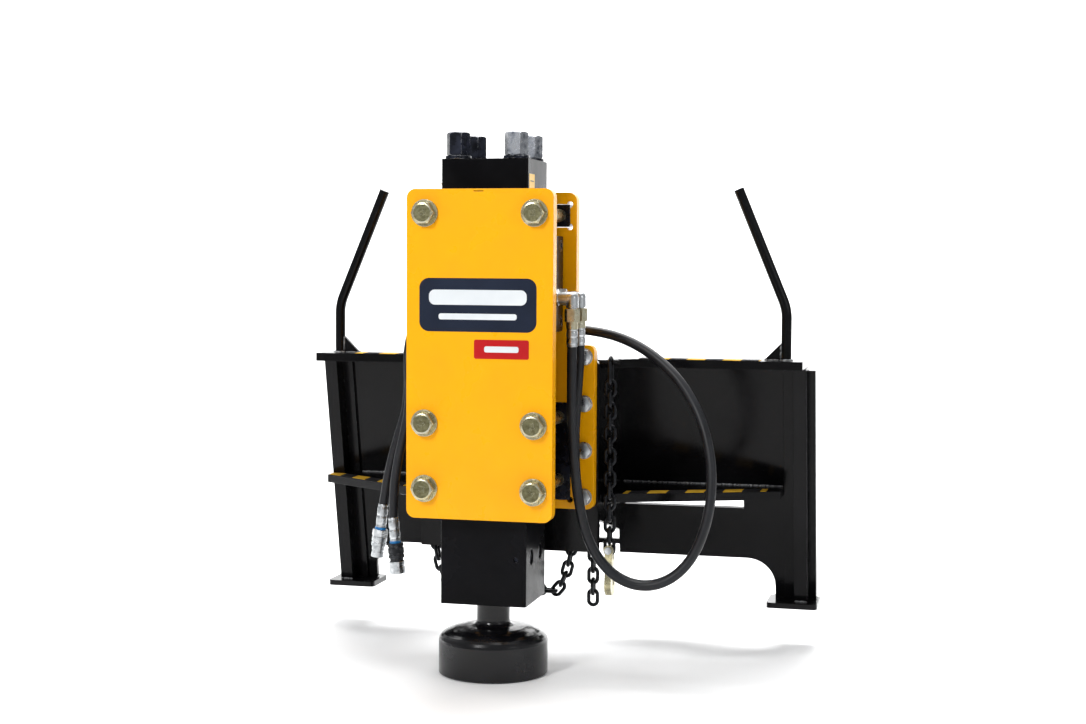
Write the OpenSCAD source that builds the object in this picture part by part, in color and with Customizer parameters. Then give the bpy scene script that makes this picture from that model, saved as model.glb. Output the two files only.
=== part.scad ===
// Post driver: a hydraulic hammer with a driving cup, carried by two side plates on a loader frame.
// Millimetres, +Z up, the front faces -Y. Origin: centre of the cup's mouth, on the tool axis.

/* [Driving tool] */
// Diameter of the tool's shank
shank_d = 68; // [56:1:82]
// Outer diameter of the driving cup
cup_d = 224; // [186:1:270]
// Thickness of the cup's wall
cup_wall = 12; // [9:1:16]
// Depth of the cup's bore
cup_depth = 60; // [50:1:64]
// Height of the cup's straight outer wall
cup_h = 67; // [66:1:84]
// Height of the dome above the straight wall
dome_h = 30; // [24:1:36]
// How far a post pushes the tool up into the hammer
tool_travel = 35; // [20:1:38]

/* [Hammer] */
// Width of the hammer's blocks, side to side
body_w = 178; // [148:1:214]
// Depth of the hammer's blocks, front to back
body_d = 164; // [150:1:196]
// Free height between the dome and the front head
tool_gap = 42.5; // [42:0.5:60]
// Height of the front head, which guides the tool
front_head_h = 268.5; // [250:0.5:320]
// Height of the cylinder block
cylinder_h = 480; // [440:1:576]
// Height of the back head, which holds the gas
back_head_h = 146; // [120:1:175]
// Diameter of the tie rods
tie_rod_d = 26; // [21:1:30]
// Diameter of the piston's wide lands
piston_d = 76; // [70:1:84]
// Stroke of the piston
piston_stroke = 70; // [40:1:76]
// Diameter of the two retaining pins
pin_d = 32; // [26:1:36]
// Wall of the two tool bushes
bush_wall = 12; // [8:1:14]
// Thickness of the wear pads between the hammer and its side plates
pad_t = 8; // [6:1:10]

/* [Side plates] */
// Thickness of both side plates
plate_t = 27; // [22:1:32]
// Height of both side plates
plate_h = 656; // [620:1:720]
// Height of the plates' lower edge above the cup's mouth
plate_z = 329; // [320:1:340]
// Plate beyond the side bolts, each side
plate_margin = 38; // [32:1:46]
// Diameter of the side bolts
side_bolt_d = 27; // [22:1:33]
// Diameter of the flange bolts
flange_bolt_d = 20; // [16:1:24]

/* [Loader frame] */
// Width of the frame's top plate
frame_w = 1074; // [900:1:1288]
// How far the frame's middle lies to the right of the tool axis
frame_shift = 67.5; // [50:0.5:85]
// Height of the top plate's upper face
top_z = 637; // [620:1:650]
// Thickness of the top plate and the steps
deck_t = 18; // [14:1:22]
// Height of the steps' upper face
step_z = 355; // [340:1:370]
// Height of the feet's underside
foot_z = 90; // [80:1:100]
// Lean of the back panel and the legs, in degrees
lean = 11.75; // [10:0.25:13]
// Thickness of the back panel
panel_t = 12; // [10:1:15]
// Width of each leg
leg_w = 28; // [22:1:34]
// Diameter of the two guide rods
rod_d = 22; // [18:1:26]

/* [Chains] */
// Diameter of the chain's wire
wire_d = 8; // [7:0.5:8.5]
// Inner length of a chain link
link_pitch = 24; // [22:0.5:26]
// Outer width of a chain link
link_w = 27; // [26:0.5:29]

/* [Hoses] */
// Outer diameter of the hoses
hose_d = 20; // [16:1:22]
// Outer diameter of the crimped ferrules
ferrule_d = 23; // [22:1:26]

/* [Hidden] */
$fn = 48;

yellow = "#fdb004";
steel_black = "#1b1b1d";
frame_black = "#141416";
zinc = "#b9bdbf";
olive_zinc = "#a89c6c";
hose_black = "#222226";

run_gap = 0.05;
fit_gap = 0.3;
eps = 0.5;

// Tool and front head
dome_fillet = 12;
cup_r = cup_d / 2;
cup_bore_r = cup_r - cup_wall;
shank_r = shank_d / 2;
head_z = cup_h + dome_h + dome_fillet + tool_gap;
head_top = head_z + front_head_h;
tool_top = head_top - tool_travel;
pin_z = head_z + 95;
pin_r = pin_d / 2;
pin_bite = 14;
pin_y = shank_r - pin_bite + pin_r;
bush_r = shank_r + bush_wall;
bush_lip = 4;
bush_low_h = 64;
bush_up_z = pin_z + pin_r + 22;
bush_up_h = 85;
stop_pin_r = 5;
stop_pin_x = body_w / 2 - 21;
stop_pin_l = body_d / 2 - pin_y + 6;

// Cylinder, piston and back head
cylinder_top = head_top + cylinder_h;
back_head_top = cylinder_top + back_head_h;
stem_r = 32;
top_stem_r = 29;
piston_r = piston_d / 2;
stem_h = 150;
land_h = 50;
neck_h = 40;
lands_h = 2 * land_h + neck_h;
chamber_z = head_top + stem_h - 25;
carrier_h = 100;
carrier_r = piston_r + 6;
carrier_z = cylinder_top - carrier_h;
chamber_top = carrier_z;
top_stem_h = cylinder_top - head_top - stem_h - lands_h - 20;
gas_r = top_stem_r + 7;
gas_h = back_head_h - 30;
seal_w = 7;
seal_depth = 6;
seal_zs = [30, 60, 90];

// Tie rods
rod_x = body_w / 2 - 29;
rod_y = body_d / 2 - 22;
rod_gap = 1;
nut_h = 47;
nut_af = tie_rod_d + 16;
washer_t = 6;

// Side plates and their bolts
gap_y = body_d / 2 + pad_t;
side_bolt_x = body_w / 2 + side_bolt_d / 2 + 9.5;
plate_w = 2 * (side_bolt_x + plate_margin);
plate_corner = 18;
back_y = gap_y + plate_t;
side_bolt_zs = [plate_z + 60, plate_z + 191, plate_z + 608];
side_head_h = 17;
side_head_af = side_bolt_d * 1.52;
side_washer_r = side_bolt_d;
side_washer_t = 4;
hole_gap = 1;
pocket_w = 48;
bar_pocket_w = 56;
bar_z0 = plate_z + 18;
bar_z1 = plate_z + 222;
relief_r = 6.5;
slot = [20, 1.6];
slot_pos = [-12, plate_h - 5.5];
nut_gap = 1;

// Flange of the back plate
flange_w = plate_w + 78;
flange_h = 341;
flange_corner = 14;
flange_bolt_zs = [plate_z + 26, plate_z + 123, plate_z + 220, plate_z + 317];
flange_head_h = 12.5;
flange_head_af = flange_bolt_d * 1.5;
flange_washer_r = flange_bolt_d * 0.88;
flange_washer_t = 3;
flange_nut_h = 16;
flange_stud = 4;

// Box between the side plates and the frame
box_w = flange_w + 8;
box_t = 20;
box_side_t = 9.5;
flange_bolt_x = box_w / 2 - box_side_t - flange_head_af / 2 - fit_gap;
box_z0 = plate_z - 94;
box_z1 = plate_z + flange_h - 6;
box_front_y = back_y + box_t;
box_corner = 34;

// Frame
deck_z0 = top_z - deck_t;
step_z0 = step_z - deck_t;
foot_t = 12;
foot_top = foot_z + foot_t;
panel_y = 371;
leg_out = frame_w / 2 + 2;
leg_in = leg_out - leg_w;
leg_fore = 46;
leg_d = 76;
bar_w = 16;
bar_aft = 46;
edge_bar_w = 24;
edge_bar_t = 8;
panel_low_z = 189;
arch_r = 62;
arch_x = leg_in - 45.5;
notch_w = box_w - 2 * box_side_t;
notch_z = 520;
window_z0 = 303;
window_z1 = step_z0 + 4;
window_x = leg_in - 113.5;
deck_front_y = 213;
deck_nose_x = box_w / 2 + 57;
step_nose_y = box_front_y + 4;
right_step_y = 290;
left_step_y = 300;
step_end_x = frame_shift - leg_out - 4;
foot_in = leg_in - 59;
foot_out = leg_out + 23;
foot_y0 = 353;
foot_y1 = 455;
cross_bar_z = 209;
cross_bar_h = 11;
cross_bar_d = 20;

// Grip tape
tape_w = 40;
tape_t = 1;
tape_margin = 3;

// Guide rods
rod_base_x = frame_w / 2 - 39;
rod_base_y = 263;
rod_straight = 88;
rod_bend = 22.5;
rod_bend_r = 100;
rod_slant = 253;
gusset = 36;
gusset_t = 10;

// Hydraulic ports
chest_t = 38;
chest_d = 132;
chest_h = 194;
chest_z = head_top + 280;
port_z = chest_z + 70;
port_y_a = -22;
port_y_b = 48;
elbow_x = body_w / 2 + 78;
adaptor_l = 22;
spool_r = 11;
spool_h = 120;
spool_travel = 12;
spool_z = chest_z + 40;
ferrule_h = 36;
ferrule_top = port_z - 62;
hose_top = ferrule_top - ferrule_h;

// Chains
link_gap = 0.3;
link_step = link_pitch - link_gap;
link_half = (link_pitch + wire_d) / 2;
peg_r = 5;
long_peg = [box_w / 2, back_y + 7, 634];
long_chain_x = box_w / 2 + 24;
long_links = 15;
top_ring = [2 * link_pitch, link_w + 5];
hook_pin_r = 4.8;
swag_y = box_front_y + 42;
swag_peg_r = 4;
swag_peg_z = box_z0 + 6;
swag_lug = [22, 10, 28];
swag_xs = [-130, 74];
swag_half_links = 5;
swag_curve = 20;
tail_x = 171;
tail_peg_z = box_z0 + 43;
tail_links = 7;

// Routes of the two hoses, from the elbow to the coupler
route_a = [
  [167, -22, 672], [167, -22, 640], [167, -21, 540], [169, -18, 480],
  [173, -14, 420], [180, -9, 360], [193, -4, 300], [215, 1, 250], [247, 5, 213], [287, 8, 193],
  [330, 10, 192], [370, 14, 210], [402, 19, 243], [424, 25, 287], [438, 33, 340], [442, 42, 395],
  [437, 54, 450], [422, 68, 505], [398, 84, 555], [365, 100, 600], [323, 118, 638], [274, 136, 668],
  [220, 150, 688], [160, 160, 698], [95, 167, 701], [25, 171, 701], [-40, 171, 704],
  [-90, 163, 709], [-131, 148, 711], [-161, 126, 707], [-185, 101, 695], [-198, 80, 672],
  [-202, 66, 640], [-202, 58, 602], [-200, 56, 560], [-204, 56, 518], [-213, 57, 475],
  [-224, 59, 432], [-232, 60, 387], [-236, 60, 343], [-237, 60, 300]
];
route_b = [
  [167, 48, 672], [167, 48, 640], [161, 46, 540], [160, 40, 480], [164, 31, 417],
  [173, 25, 357], [187, 23, 298], [210, 25, 248], [243, 28, 211], [283, 31, 191],
  [326, 33, 190], [366, 37, 207], [398, 42, 240], [420, 48, 284], [434, 56, 337],
  [438, 65, 392], [433, 77, 447], [418, 91, 502], [394, 107, 552], [361, 123, 597],
  [319, 141, 635], [270, 159, 665], [216, 173, 686], [156, 183, 697], [91, 189, 702],
  [21, 193, 706], [-45, 190, 713], [-98, 178, 723], [-140, 158, 732], [-172, 137, 732],
  [-195, 119, 718], [-209, 103, 692], [-214, 92, 657], [-213, 85, 620], [-211, 80, 578],
  [-215, 79, 530], [-229, 80, 482], [-243, 82, 438], [-257, 85, 384], [-268, 87, 324]
];
hose_sides = 10;
tilt_a = [-5, 0];
tilt_b = [7, 0];
ring_d = 24;
coupler_ferrule_h = 50;
ring_h = 5;

// ---- Helpers ----

// Distance up the leaning panel of the point at height z, counted from the step's upper face
function up(z) = (z - step_z) / cos(lean);

// Front face of the leaning panel at height z
function lean_y(z) = panel_y + (step_z - z) * tan(lean);

// Everything inside stands in the plane of the leaning panel: X along it, Y through it, Z up it
module leaning() {
  translate([frame_shift, panel_y, step_z]) rotate([lean, 0, 0]) children();
}

// A (Y, Z) outline pulled from x0 to x1
module along_x(x0, x1, outline) {
  translate([x0, 0, 0]) rotate([90, 0, 90]) linear_extrude(x1 - x0) polygon(outline);
}

// An (X, Z) shape pulled from y0 to y1
module along_y(y0, y1) {
  translate([0, y1, 0]) rotate([90, 0, 0]) linear_extrude(y1 - y0) children();
}

module round_square(w, h, r) {
  union() {
    square([w - 2 * r, h], center = true);
    square([w, h - 2 * r], center = true);
    for (x = [-1, 1], y = [-1, 1]) translate([x * (w / 2 - r), y * (h / 2 - r)]) circle(r);
  }
}

module cyl(r, z0, z1) {
  translate([0, 0, z0]) cylinder(r = r, h = z1 - z0);
}

module ring(r_out, r_in, z0, z1) {
  difference() {
    cyl(r_out, z0, z1);
    cyl(r_in, z0 - eps, z1 + eps);
  }
}

module hex(af, z0, z1) {
  translate([0, 0, z0]) cylinder(r = af / sqrt(3), h = z1 - z0, $fn = 6);
}

// A cylinder along Y from y0 to y1
module bar_y(r, y0, y1) {
  translate([0, y0, 0]) rotate([-90, 0, 0]) cylinder(r = r, h = y1 - y0);
}

// A cylinder along X from x0 to x1
module bar_x(r, x0, x1) {
  translate([x0, 0, 0]) rotate([0, 90, 0]) cylinder(r = r, h = x1 - x0);
}

module both_sides() {
  children();
  mirror([1, 0, 0]) children();
}

module at_tie_rods() {
  for (x = [-1, 1], y = [-1, 1]) translate([x * rod_x, y * rod_y, 0]) children();
}

module at_side_bolts() {
  for (x = [-1, 1], z = side_bolt_zs) translate([x * side_bolt_x, 0, z]) children();
}

module at_flange_bolts() {
  for (x = [-1, 1], z = flange_bolt_zs) translate([x * flange_bolt_x, 0, z]) children();
}

// A block of the hammer with its vertical edges eased
module hammer_block(z0, z1) {
  translate([0, 0, z0]) linear_extrude(z1 - z0) round_square(body_w, body_d, 5);
}

module tie_rod_holes(z0, z1) {
  at_tie_rods() cyl(tie_rod_d / 2 + rod_gap, z0 - eps, z1 + eps);
}

// ---- Driving tool and front head ----

// Quarter ellipse of the dome, then the hollow fillet up to the shank
function dome_points() = concat(
  [for (a = [0:10:80]) [shank_r + dome_fillet + (cup_r - shank_r - dome_fillet) * cos(a),
                        cup_h + dome_h * sin(a)]],
  [for (a = [0:15:90]) [shank_r + dome_fillet * (1 - sin(a)),
                        cup_h + dome_h + dome_fillet * (1 - cos(a))]]
);

module driver_tool() {
  slot_z0 = pin_z - pin_r - tool_travel - fit_gap;
  slot_z1 = pin_z + pin_r + fit_gap;
  color(steel_black) difference() {
    rotate_extrude() polygon(concat(
      [[0, cup_depth], [cup_bore_r, cup_depth], [cup_bore_r, 0], [cup_r - 2, 0], [cup_r, 2]],
      dome_points(),
      [[shank_r, tool_top - 3], [shank_r - 3, tool_top], [0, tool_top]]
    ));
    for (y = [-1, 1])
      translate([-shank_r, y > 0 ? shank_r - pin_bite - fit_gap : -shank_r - eps, slot_z0])
        cube([2 * shank_r, pin_bite + fit_gap + eps, slot_z1 - slot_z0]);
  }
}

module front_head() {
  color(steel_black) difference() {
    hammer_block(head_z, head_top);
    cyl(shank_r + 3, head_z - eps, head_top + eps);
    cyl(bush_r, head_z - eps, head_z + bush_low_h);
    cyl(bush_r, bush_up_z, head_top + eps);
    for (y = [-1, 1]) {
      translate([0, y * pin_y, pin_z]) bar_x(pin_r + run_gap, -body_w, body_w);
      translate([stop_pin_x, 0, pin_z])
        bar_y(stop_pin_r + run_gap, y > 0 ? pin_y : -body_d / 2 - eps, y > 0 ? body_d / 2 + eps : -pin_y);
    }
    tie_rod_holes(head_z + 160, head_top);
    translate([-body_w / 2 - eps, 0, bush_up_z + bush_up_h / 2]) bar_x(4, 0, body_w / 2 - bush_r + 8);
  }
}

module tool_bushes() {
  color(olive_zinc) {
    ring(bush_r, shank_r + run_gap, head_z - bush_lip, head_z + bush_low_h);
    ring(bush_r, shank_r + run_gap, bush_up_z, bush_up_z + bush_up_h);
  }
}

module retaining_pins() {
  color(zinc) for (y = [-1, 1]) difference() {
    translate([0, y * pin_y, pin_z]) bar_x(pin_r, -body_w / 2 + 5, body_w / 2 - 5);
    translate([stop_pin_x, y * pin_y, pin_z]) bar_y(stop_pin_r + run_gap, -pin_r, pin_r);
  }
}

module stop_pins() {
  y1 = body_d / 2 - 6;
  color(steel_black) for (m = [0, 1]) mirror([0, m, 0]) translate([stop_pin_x, 0, pin_z])
    bar_y(stop_pin_r, y1 - stop_pin_l, y1);
}

module grease_nipple() {
  color(zinc) translate([-body_w / 2, 0, bush_up_z + bush_up_h / 2]) {
    bar_x(4, 0, 14);
    translate([-6, 0, 0]) rotate([0, 90, 0]) cylinder(r = 6, h = 6, $fn = 6);
    bar_x(3.2, -13, -6);
    translate([-14, 0, 0]) sphere(3.5);
  }
}

// ---- Cylinder, piston, back head ----

module cylinder_block() {
  color(steel_black) difference() {
    hammer_block(head_top, cylinder_top);
    cyl(stem_r + run_gap, head_top - eps, chamber_z + eps);
    cyl(piston_r + run_gap, chamber_z, chamber_top + eps);
    cyl(carrier_r, carrier_z, cylinder_top + eps);
    for (z = seal_zs) cyl(stem_r + seal_depth, head_top + z, head_top + z + seal_w);
    tie_rod_holes(head_top, cylinder_top);
  }
}

module piston() {
  z0 = head_top + fit_gap;
  z1 = z0 + stem_h;
  z2 = z1 + lands_h;
  color(zinc) difference() {
    union() {
      cyl(stem_r, z0, z1);
      cyl(piston_r, z1, z2);
      cyl(top_stem_r, z2, z2 + top_stem_h);
    }
    ring(piston_r + eps, piston_r - 5, z1 + land_h, z1 + land_h + neck_h);
  }
}

module piston_seals() {
  color("#3d6b8c") {
    for (z = seal_zs) ring(stem_r + seal_depth, stem_r + run_gap, head_top + z, head_top + z + seal_w);
    translate([0, 0, carrier_z]) for (z = [20, 50])
      ring(top_stem_r + seal_depth, top_stem_r + run_gap, z, z + seal_w);
  }
}

module seal_carrier() {
  color(zinc) difference() {
    cyl(carrier_r, carrier_z, cylinder_top);
    cyl(top_stem_r + run_gap, carrier_z - eps, cylinder_top + eps);
    for (z = [20, 50]) cyl(top_stem_r + seal_depth, carrier_z + z, carrier_z + z + seal_w);
  }
}

module back_head() {
  color(steel_black) difference() {
    hammer_block(cylinder_top, back_head_top);
    cyl(gas_r, cylinder_top - eps, cylinder_top + gas_h);
    tie_rod_holes(cylinder_top, back_head_top);
    translate([-body_w / 2 - eps, 0, cylinder_top + gas_h - 14]) bar_x(7, 0, body_w / 2);
  }
}

module gas_valve() {
  color(zinc) translate([-body_w / 2, 0, cylinder_top + gas_h - 14]) {
    bar_x(7, 0, 30);
    translate([-12, 0, 0]) rotate([0, 90, 0]) cylinder(r = 13, h = 12, $fn = 6);
    bar_x(6, -24, -12);
  }
}

module tie_rods() {
  color(zinc) at_tie_rods() cyl(tie_rod_d / 2, head_z + 160, back_head_top + washer_t + nut_h - 1);
}

module tie_rod_nuts() {
  color(steel_black) at_tie_rods() difference() {
    hex(nut_af, back_head_top + washer_t, back_head_top + washer_t + nut_h);
    cyl(tie_rod_d / 2, back_head_top, back_head_top + nut_h + 2 * washer_t);
  }
}

module tie_rod_washers() {
  color(zinc) at_tie_rods()
    ring(nut_af * 0.62, tie_rod_d / 2 + rod_gap, back_head_top, back_head_top + washer_t);
}

// ---- Valve ----

module at_chest_screws() {
  for (y = [-1, 1], z = [20, chest_h - 20])
    translate([0, y * (chest_d / 2 - 16), chest_z + z]) children();
}

module valve_chest() {
  x0 = body_w / 2;
  color(steel_black) difference() {
    translate([x0, 0, chest_z + chest_h / 2]) rotate([0, 90, 0])
      linear_extrude(chest_t) round_square(chest_h, chest_d, 6);
    translate([x0 + chest_t / 2, 0, 0])
      cyl(spool_r + run_gap, spool_z - spool_travel - 10, chest_z + chest_h + eps);
    at_chest_screws() {
      bar_x(8.5, x0 - eps, x0 + chest_t + eps);
      bar_x(13, x0 + chest_t - 16, x0 + chest_t + eps);
    }
    for (y = [port_y_a, port_y_b]) translate([0, y, port_z]) bar_x(9, x0 + chest_t - 12, x0 + chest_t + eps);
  }
}

module valve_spool() {
  color(zinc) translate([body_w / 2 + chest_t / 2, 0, 0]) difference() {
    cyl(spool_r, spool_z, spool_z + spool_h);
    for (z = [30, 75]) ring(spool_r + eps, spool_r - 3, spool_z + z, spool_z + z + 18);
  }
}

module valve_cap() {
  color(zinc) translate([body_w / 2 + chest_t / 2, 0, chest_z + chest_h]) {
    cyl(spool_r, -14, 0);
    hex(27, 0, 9);
  }
}

module valve_screws() {
  x0 = body_w / 2;
  color(steel_black) at_chest_screws() difference() {
    union() {
      bar_x(8, x0, x0 + chest_t - 16);
      bar_x(12, x0 + chest_t - 16, x0 + chest_t);
    }
    rotate([90, 0, 90]) translate([0, 0, x0 + chest_t - 8]) cylinder(r = 8, h = 9, $fn = 6);
  }
}

// ---- Ports, elbows and hoses ----

module at_ports() {
  for (y = [port_y_a, port_y_b]) translate([0, y, port_z]) children();
}

module port_adaptors() {
  x0 = body_w / 2 + chest_t;
  color(zinc) at_ports() {
    bar_x(9, x0 - 10, x0 + adaptor_l);
    translate([x0, 0, 0]) rotate([0, 90, 0]) cylinder(r = 30 / sqrt(3), h = 12, $fn = 6);
    bar_x(12, x0 + 12, x0 + adaptor_l);
  }
}

module hose_elbows() {
  x0 = body_w / 2 + chest_t + adaptor_l;
  color(zinc) at_ports() {
    bar_x(12.5, x0, elbow_x);
    translate([elbow_x, 0, 0]) sphere(12.5);
    translate([elbow_x, 0, 0]) cyl(12.5, -20, 0);
    translate([elbow_x, 0, 0]) cyl(9, -30, -20);
  }
}

module elbow_nuts() {
  color(olive_zinc) for (y = [port_y_a, port_y_b]) translate([elbow_x, y, 0]) {
    difference() {
      hex(27, ferrule_top + 14, port_z - 22);
      cyl(9.2, port_z - 31, port_z);
    }
    cyl(12, ferrule_top, ferrule_top + 14);
  }
}

module elbow_ferrule(y) {
  translate([elbow_x, y, 0]) cyl(ferrule_d / 2, hose_top, ferrule_top);
}

// Local frame at a hose's far end: Z runs back along the hose, from the coupler's face side up
module at_far_end(route, tilt) {
  translate(route[len(route) - 1]) rotate([0, tilt[0], tilt[1]]) children();
}

module coupler_ferrule() {
  cyl(ferrule_d / 2, -coupler_ferrule_h, 0);
}

module ferrules_a() {
  color(zinc) {
    elbow_ferrule(port_y_a);
    at_far_end(route_a, tilt_a) coupler_ferrule();
  }
}

module ferrules_b() {
  color(zinc) {
    elbow_ferrule(port_y_b);
    at_far_end(route_b, tilt_b) coupler_ferrule();
  }
}

// Unit vector and cross product helpers for the swept tubes
function unit(v) = v / norm(v);
function tangent(p, i) = unit(p[min(i + 1, len(p) - 1)] - p[max(i - 1, 0)]);
function side_dir(t, s) = unit(s - (s * t) * t);
function frames(p, i = 0, s = [0, 1, 0]) =
  i >= len(p) ? [] : let (t = end_dir(p, i), n = side_dir(t, s)) concat([[t, n]], frames(p, i + 1, n));
function end_dir(p, i) = i == 0 ? [0, 0, -1] : tangent(p, i);

// A tube of the hose's diameter swept along the points
module hose(points, last_dir) {
  f = frames(points);
  n = len(points);
  rings = [for (i = [0:n - 1])
    let (t = i == n - 1 ? last_dir : f[i][0], u = side_dir(t, f[i][1]), v = cross(t, u))
    for (k = [0:hose_sides - 1])
      points[i] + hose_d / 2 * (cos(360 * k / hose_sides) * u + sin(360 * k / hose_sides) * v)];
  walls = [for (i = [0:n - 2], k = [0:hose_sides - 1])
    [i * hose_sides + k, (i + 1) * hose_sides + k,
     (i + 1) * hose_sides + (k + 1) % hose_sides, i * hose_sides + (k + 1) % hose_sides]];
  caps = [[for (k = [0:hose_sides - 1]) k], [for (k = [hose_sides - 1:-1:0]) (n - 1) * hose_sides + k]];
  polyhedron(points = rings, faces = concat(caps, walls), convexity = 10);
}

module hose_a() {
  color(hose_black) hose(route_a, [-sin(tilt_a[0]), 0, -cos(tilt_a[0])]);
}

module hose_b() {
  color(hose_black) hose(route_b, [-sin(tilt_b[0]), 0, -cos(tilt_b[0])]);
}

module coupler_rings() {
  color("#2a86c8") {
    at_far_end(route_a, tilt_a) cyl(ring_d / 2, -coupler_ferrule_h - ring_h, -coupler_ferrule_h);
    at_far_end(route_b, tilt_b) cyl(ring_d / 2, -coupler_ferrule_h - ring_h, -coupler_ferrule_h);
  }
}

module male_coupler() {
  z = -coupler_ferrule_h - ring_h;
  color(zinc) at_far_end(route_b, tilt_b) difference() {
    union() {
      hex(30, z - 16, z);
      cyl(16, z - 36, z - 16);
      cyl(13.5, z - 60, z - 36);
    }
    cyl(9, z - 60 - eps, z - 52);
  }
}

module female_coupler() {
  z = -coupler_ferrule_h - ring_h;
  color(zinc) at_far_end(route_a, tilt_a) difference() {
    union() {
      cyl(17, z - 31, z);
      cyl(14, z - 64, z - 31);
    }
    cyl(10, z - 64 - eps, z - 50);
  }
}

module coupler_sleeve() {
  z = -coupler_ferrule_h - ring_h;
  color(zinc) at_far_end(route_a, tilt_a) difference() {
    ring(17, 14.1, z - 64, z - 38);
    ring(18, 16, z - 50, z - 46);
  }
}

// ---- Side plates ----

module wear_pads() {
  color(hose_black) for (y = [-1, 1], z = [plate_z + 110, plate_z + 470])
    translate([-body_w / 2 + 12, y > 0 ? body_d / 2 : -body_d / 2 - pad_t, z])
      cube([body_w - 24, pad_t, 110]);
}

module plate_blank(w, h, r) {
  translate([0, h / 2]) round_square(w, h, r);
}

module front_side_plate() {
  color(yellow) difference() {
    translate([0, 0, plate_z]) along_y(-gap_y - plate_t, -gap_y) difference() {
      plate_blank(plate_w, plate_h, plate_corner);
      translate(slot_pos) square(slot);
    }
    at_side_bolts() bar_y(side_bolt_d / 2 + hole_gap, -back_y - eps, 0);
  }
}

// A pocket cut through the plate, with round reliefs in its corners
module pocket(w, z0, z1) {
  translate([0, (z0 + z1) / 2]) {
    square([w, z1 - z0], center = true);
    for (x = [-1, 1], z = [-1, 1]) translate([x * (w / 2 - 1), z * ((z1 - z0) / 2 - 1)]) circle(relief_r);
  }
}

module back_side_plate() {
  color(yellow) translate([0, 0, plate_z]) along_y(gap_y, back_y) difference() {
    union() {
      plate_blank(plate_w, plate_h, plate_corner);
      plate_blank(flange_w, flange_h, flange_corner);
    }
    for (x = [-1, 1]) translate([x * side_bolt_x, -plate_z]) {
      pocket(pocket_w, side_bolt_zs[2] - pocket_w / 2, side_bolt_zs[2] + pocket_w / 2);
      pocket(bar_pocket_w, bar_z0, bar_z1);
    }
    for (x = [-1, 1], z = flange_bolt_zs)
      translate([x * flange_bolt_x, z - plate_z]) circle(flange_bolt_d / 2 + hole_gap);
  }
}

module side_bolts() {
  color(olive_zinc) at_side_bolts() {
    translate([0, -back_y - side_washer_t, 0]) rotate([-90, 0, 0]) hex(side_head_af, -side_head_h, 0);
    bar_y(side_bolt_d / 2, -back_y - side_washer_t, back_y - 2);
  }
}

module side_bolt_washers() {
  color(olive_zinc) at_side_bolts() translate([0, -back_y, 0]) rotate([90, 0, 0])
    ring(side_washer_r, side_bolt_d / 2 + hole_gap, 0, side_washer_t);
}

module nut_blocks() {
  w = pocket_w - 2 * nut_gap;
  color(steel_black) for (x = [-1, 1]) translate([x * side_bolt_x, 0, side_bolt_zs[2]]) difference() {
    translate([-w / 2, gap_y + 1, -w / 2]) cube([w, plate_t - 2, w]);
    bar_y(side_bolt_d / 2, gap_y, back_y);
  }
}

module nut_bars() {
  w = bar_pocket_w - 2 * nut_gap;
  color(steel_black) for (x = [-1, 1]) translate([x * side_bolt_x, 0, 0]) difference() {
    translate([-w / 2, gap_y + 1, bar_z0 + nut_gap]) cube([w, plate_t - 2, bar_z1 - bar_z0 - 2 * nut_gap]);
    for (z = [side_bolt_zs[0], side_bolt_zs[1]]) translate([0, 0, z]) bar_y(side_bolt_d / 2, gap_y, back_y);
  }
}

module flange_bolts() {
  color(zinc) at_flange_bolts() {
    translate([0, gap_y - flange_washer_t, 0]) rotate([-90, 0, 0]) hex(flange_head_af, -flange_head_h, 0);
    bar_y(flange_bolt_d / 2, gap_y - flange_washer_t, box_front_y + flange_nut_h + flange_stud);
  }
}

module flange_washers() {
  color(zinc) at_flange_bolts() translate([0, gap_y, 0]) rotate([90, 0, 0])
    ring(flange_washer_r, flange_bolt_d / 2 + hole_gap / 2, 0, flange_washer_t);
}

module flange_nuts() {
  color(zinc) at_flange_bolts() translate([0, box_front_y, 0]) rotate([-90, 30, 0]) difference() {
    hex(flange_head_af, 0, flange_nut_h);
    cyl(flange_bolt_d / 2, -eps, flange_nut_h + eps);
  }
}

// ---- Box ----

module box_front_plate() {
  w = box_w / 2;
  color(frame_black) along_y(back_y, box_front_y) difference() {
    polygon([[-w, box_z0], [w, box_z0], [w, box_z1 - box_corner], [w - box_corner, box_z1],
             [-w + box_corner, box_z1], [-w, box_z1 - box_corner]]);
    for (x = [-1, 1], z = flange_bolt_zs)
      translate([x * flange_bolt_x, z]) circle(flange_bolt_d / 2 + hole_gap);
  }
}

module box_side_plates() {
  low_z = 240;
  color(frame_black) both_sides()
    along_x(box_w / 2 - box_side_t, box_w / 2,
      [[box_front_y, 301], [lean_y(low_z), low_z], [lean_y(deck_z0), deck_z0], [box_front_y, deck_z0]]);
}

// ---- Frame ----

module top_plate() {
  x0 = frame_shift - frame_w / 2;
  x1 = frame_shift + frame_w / 2;
  rear = lean_y(top_z) + panel_t + 12;
  nose = box_w / 2;
  inner = flange_bolt_x - flange_head_af;
  relief_y = box_front_y + flange_nut_h + flange_stud + 2;
  color(frame_black) translate([0, 0, deck_z0]) linear_extrude(deck_t) polygon([
    [-inner, box_front_y], [inner, box_front_y], [inner, relief_y], [nose, relief_y],
    [deck_nose_x, deck_front_y], [x1, deck_front_y], [x1, rear], [x0, rear], [x0, deck_front_y],
    [-deck_nose_x, deck_front_y], [-nose, relief_y], [-inner, relief_y]
  ]);
}

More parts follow.
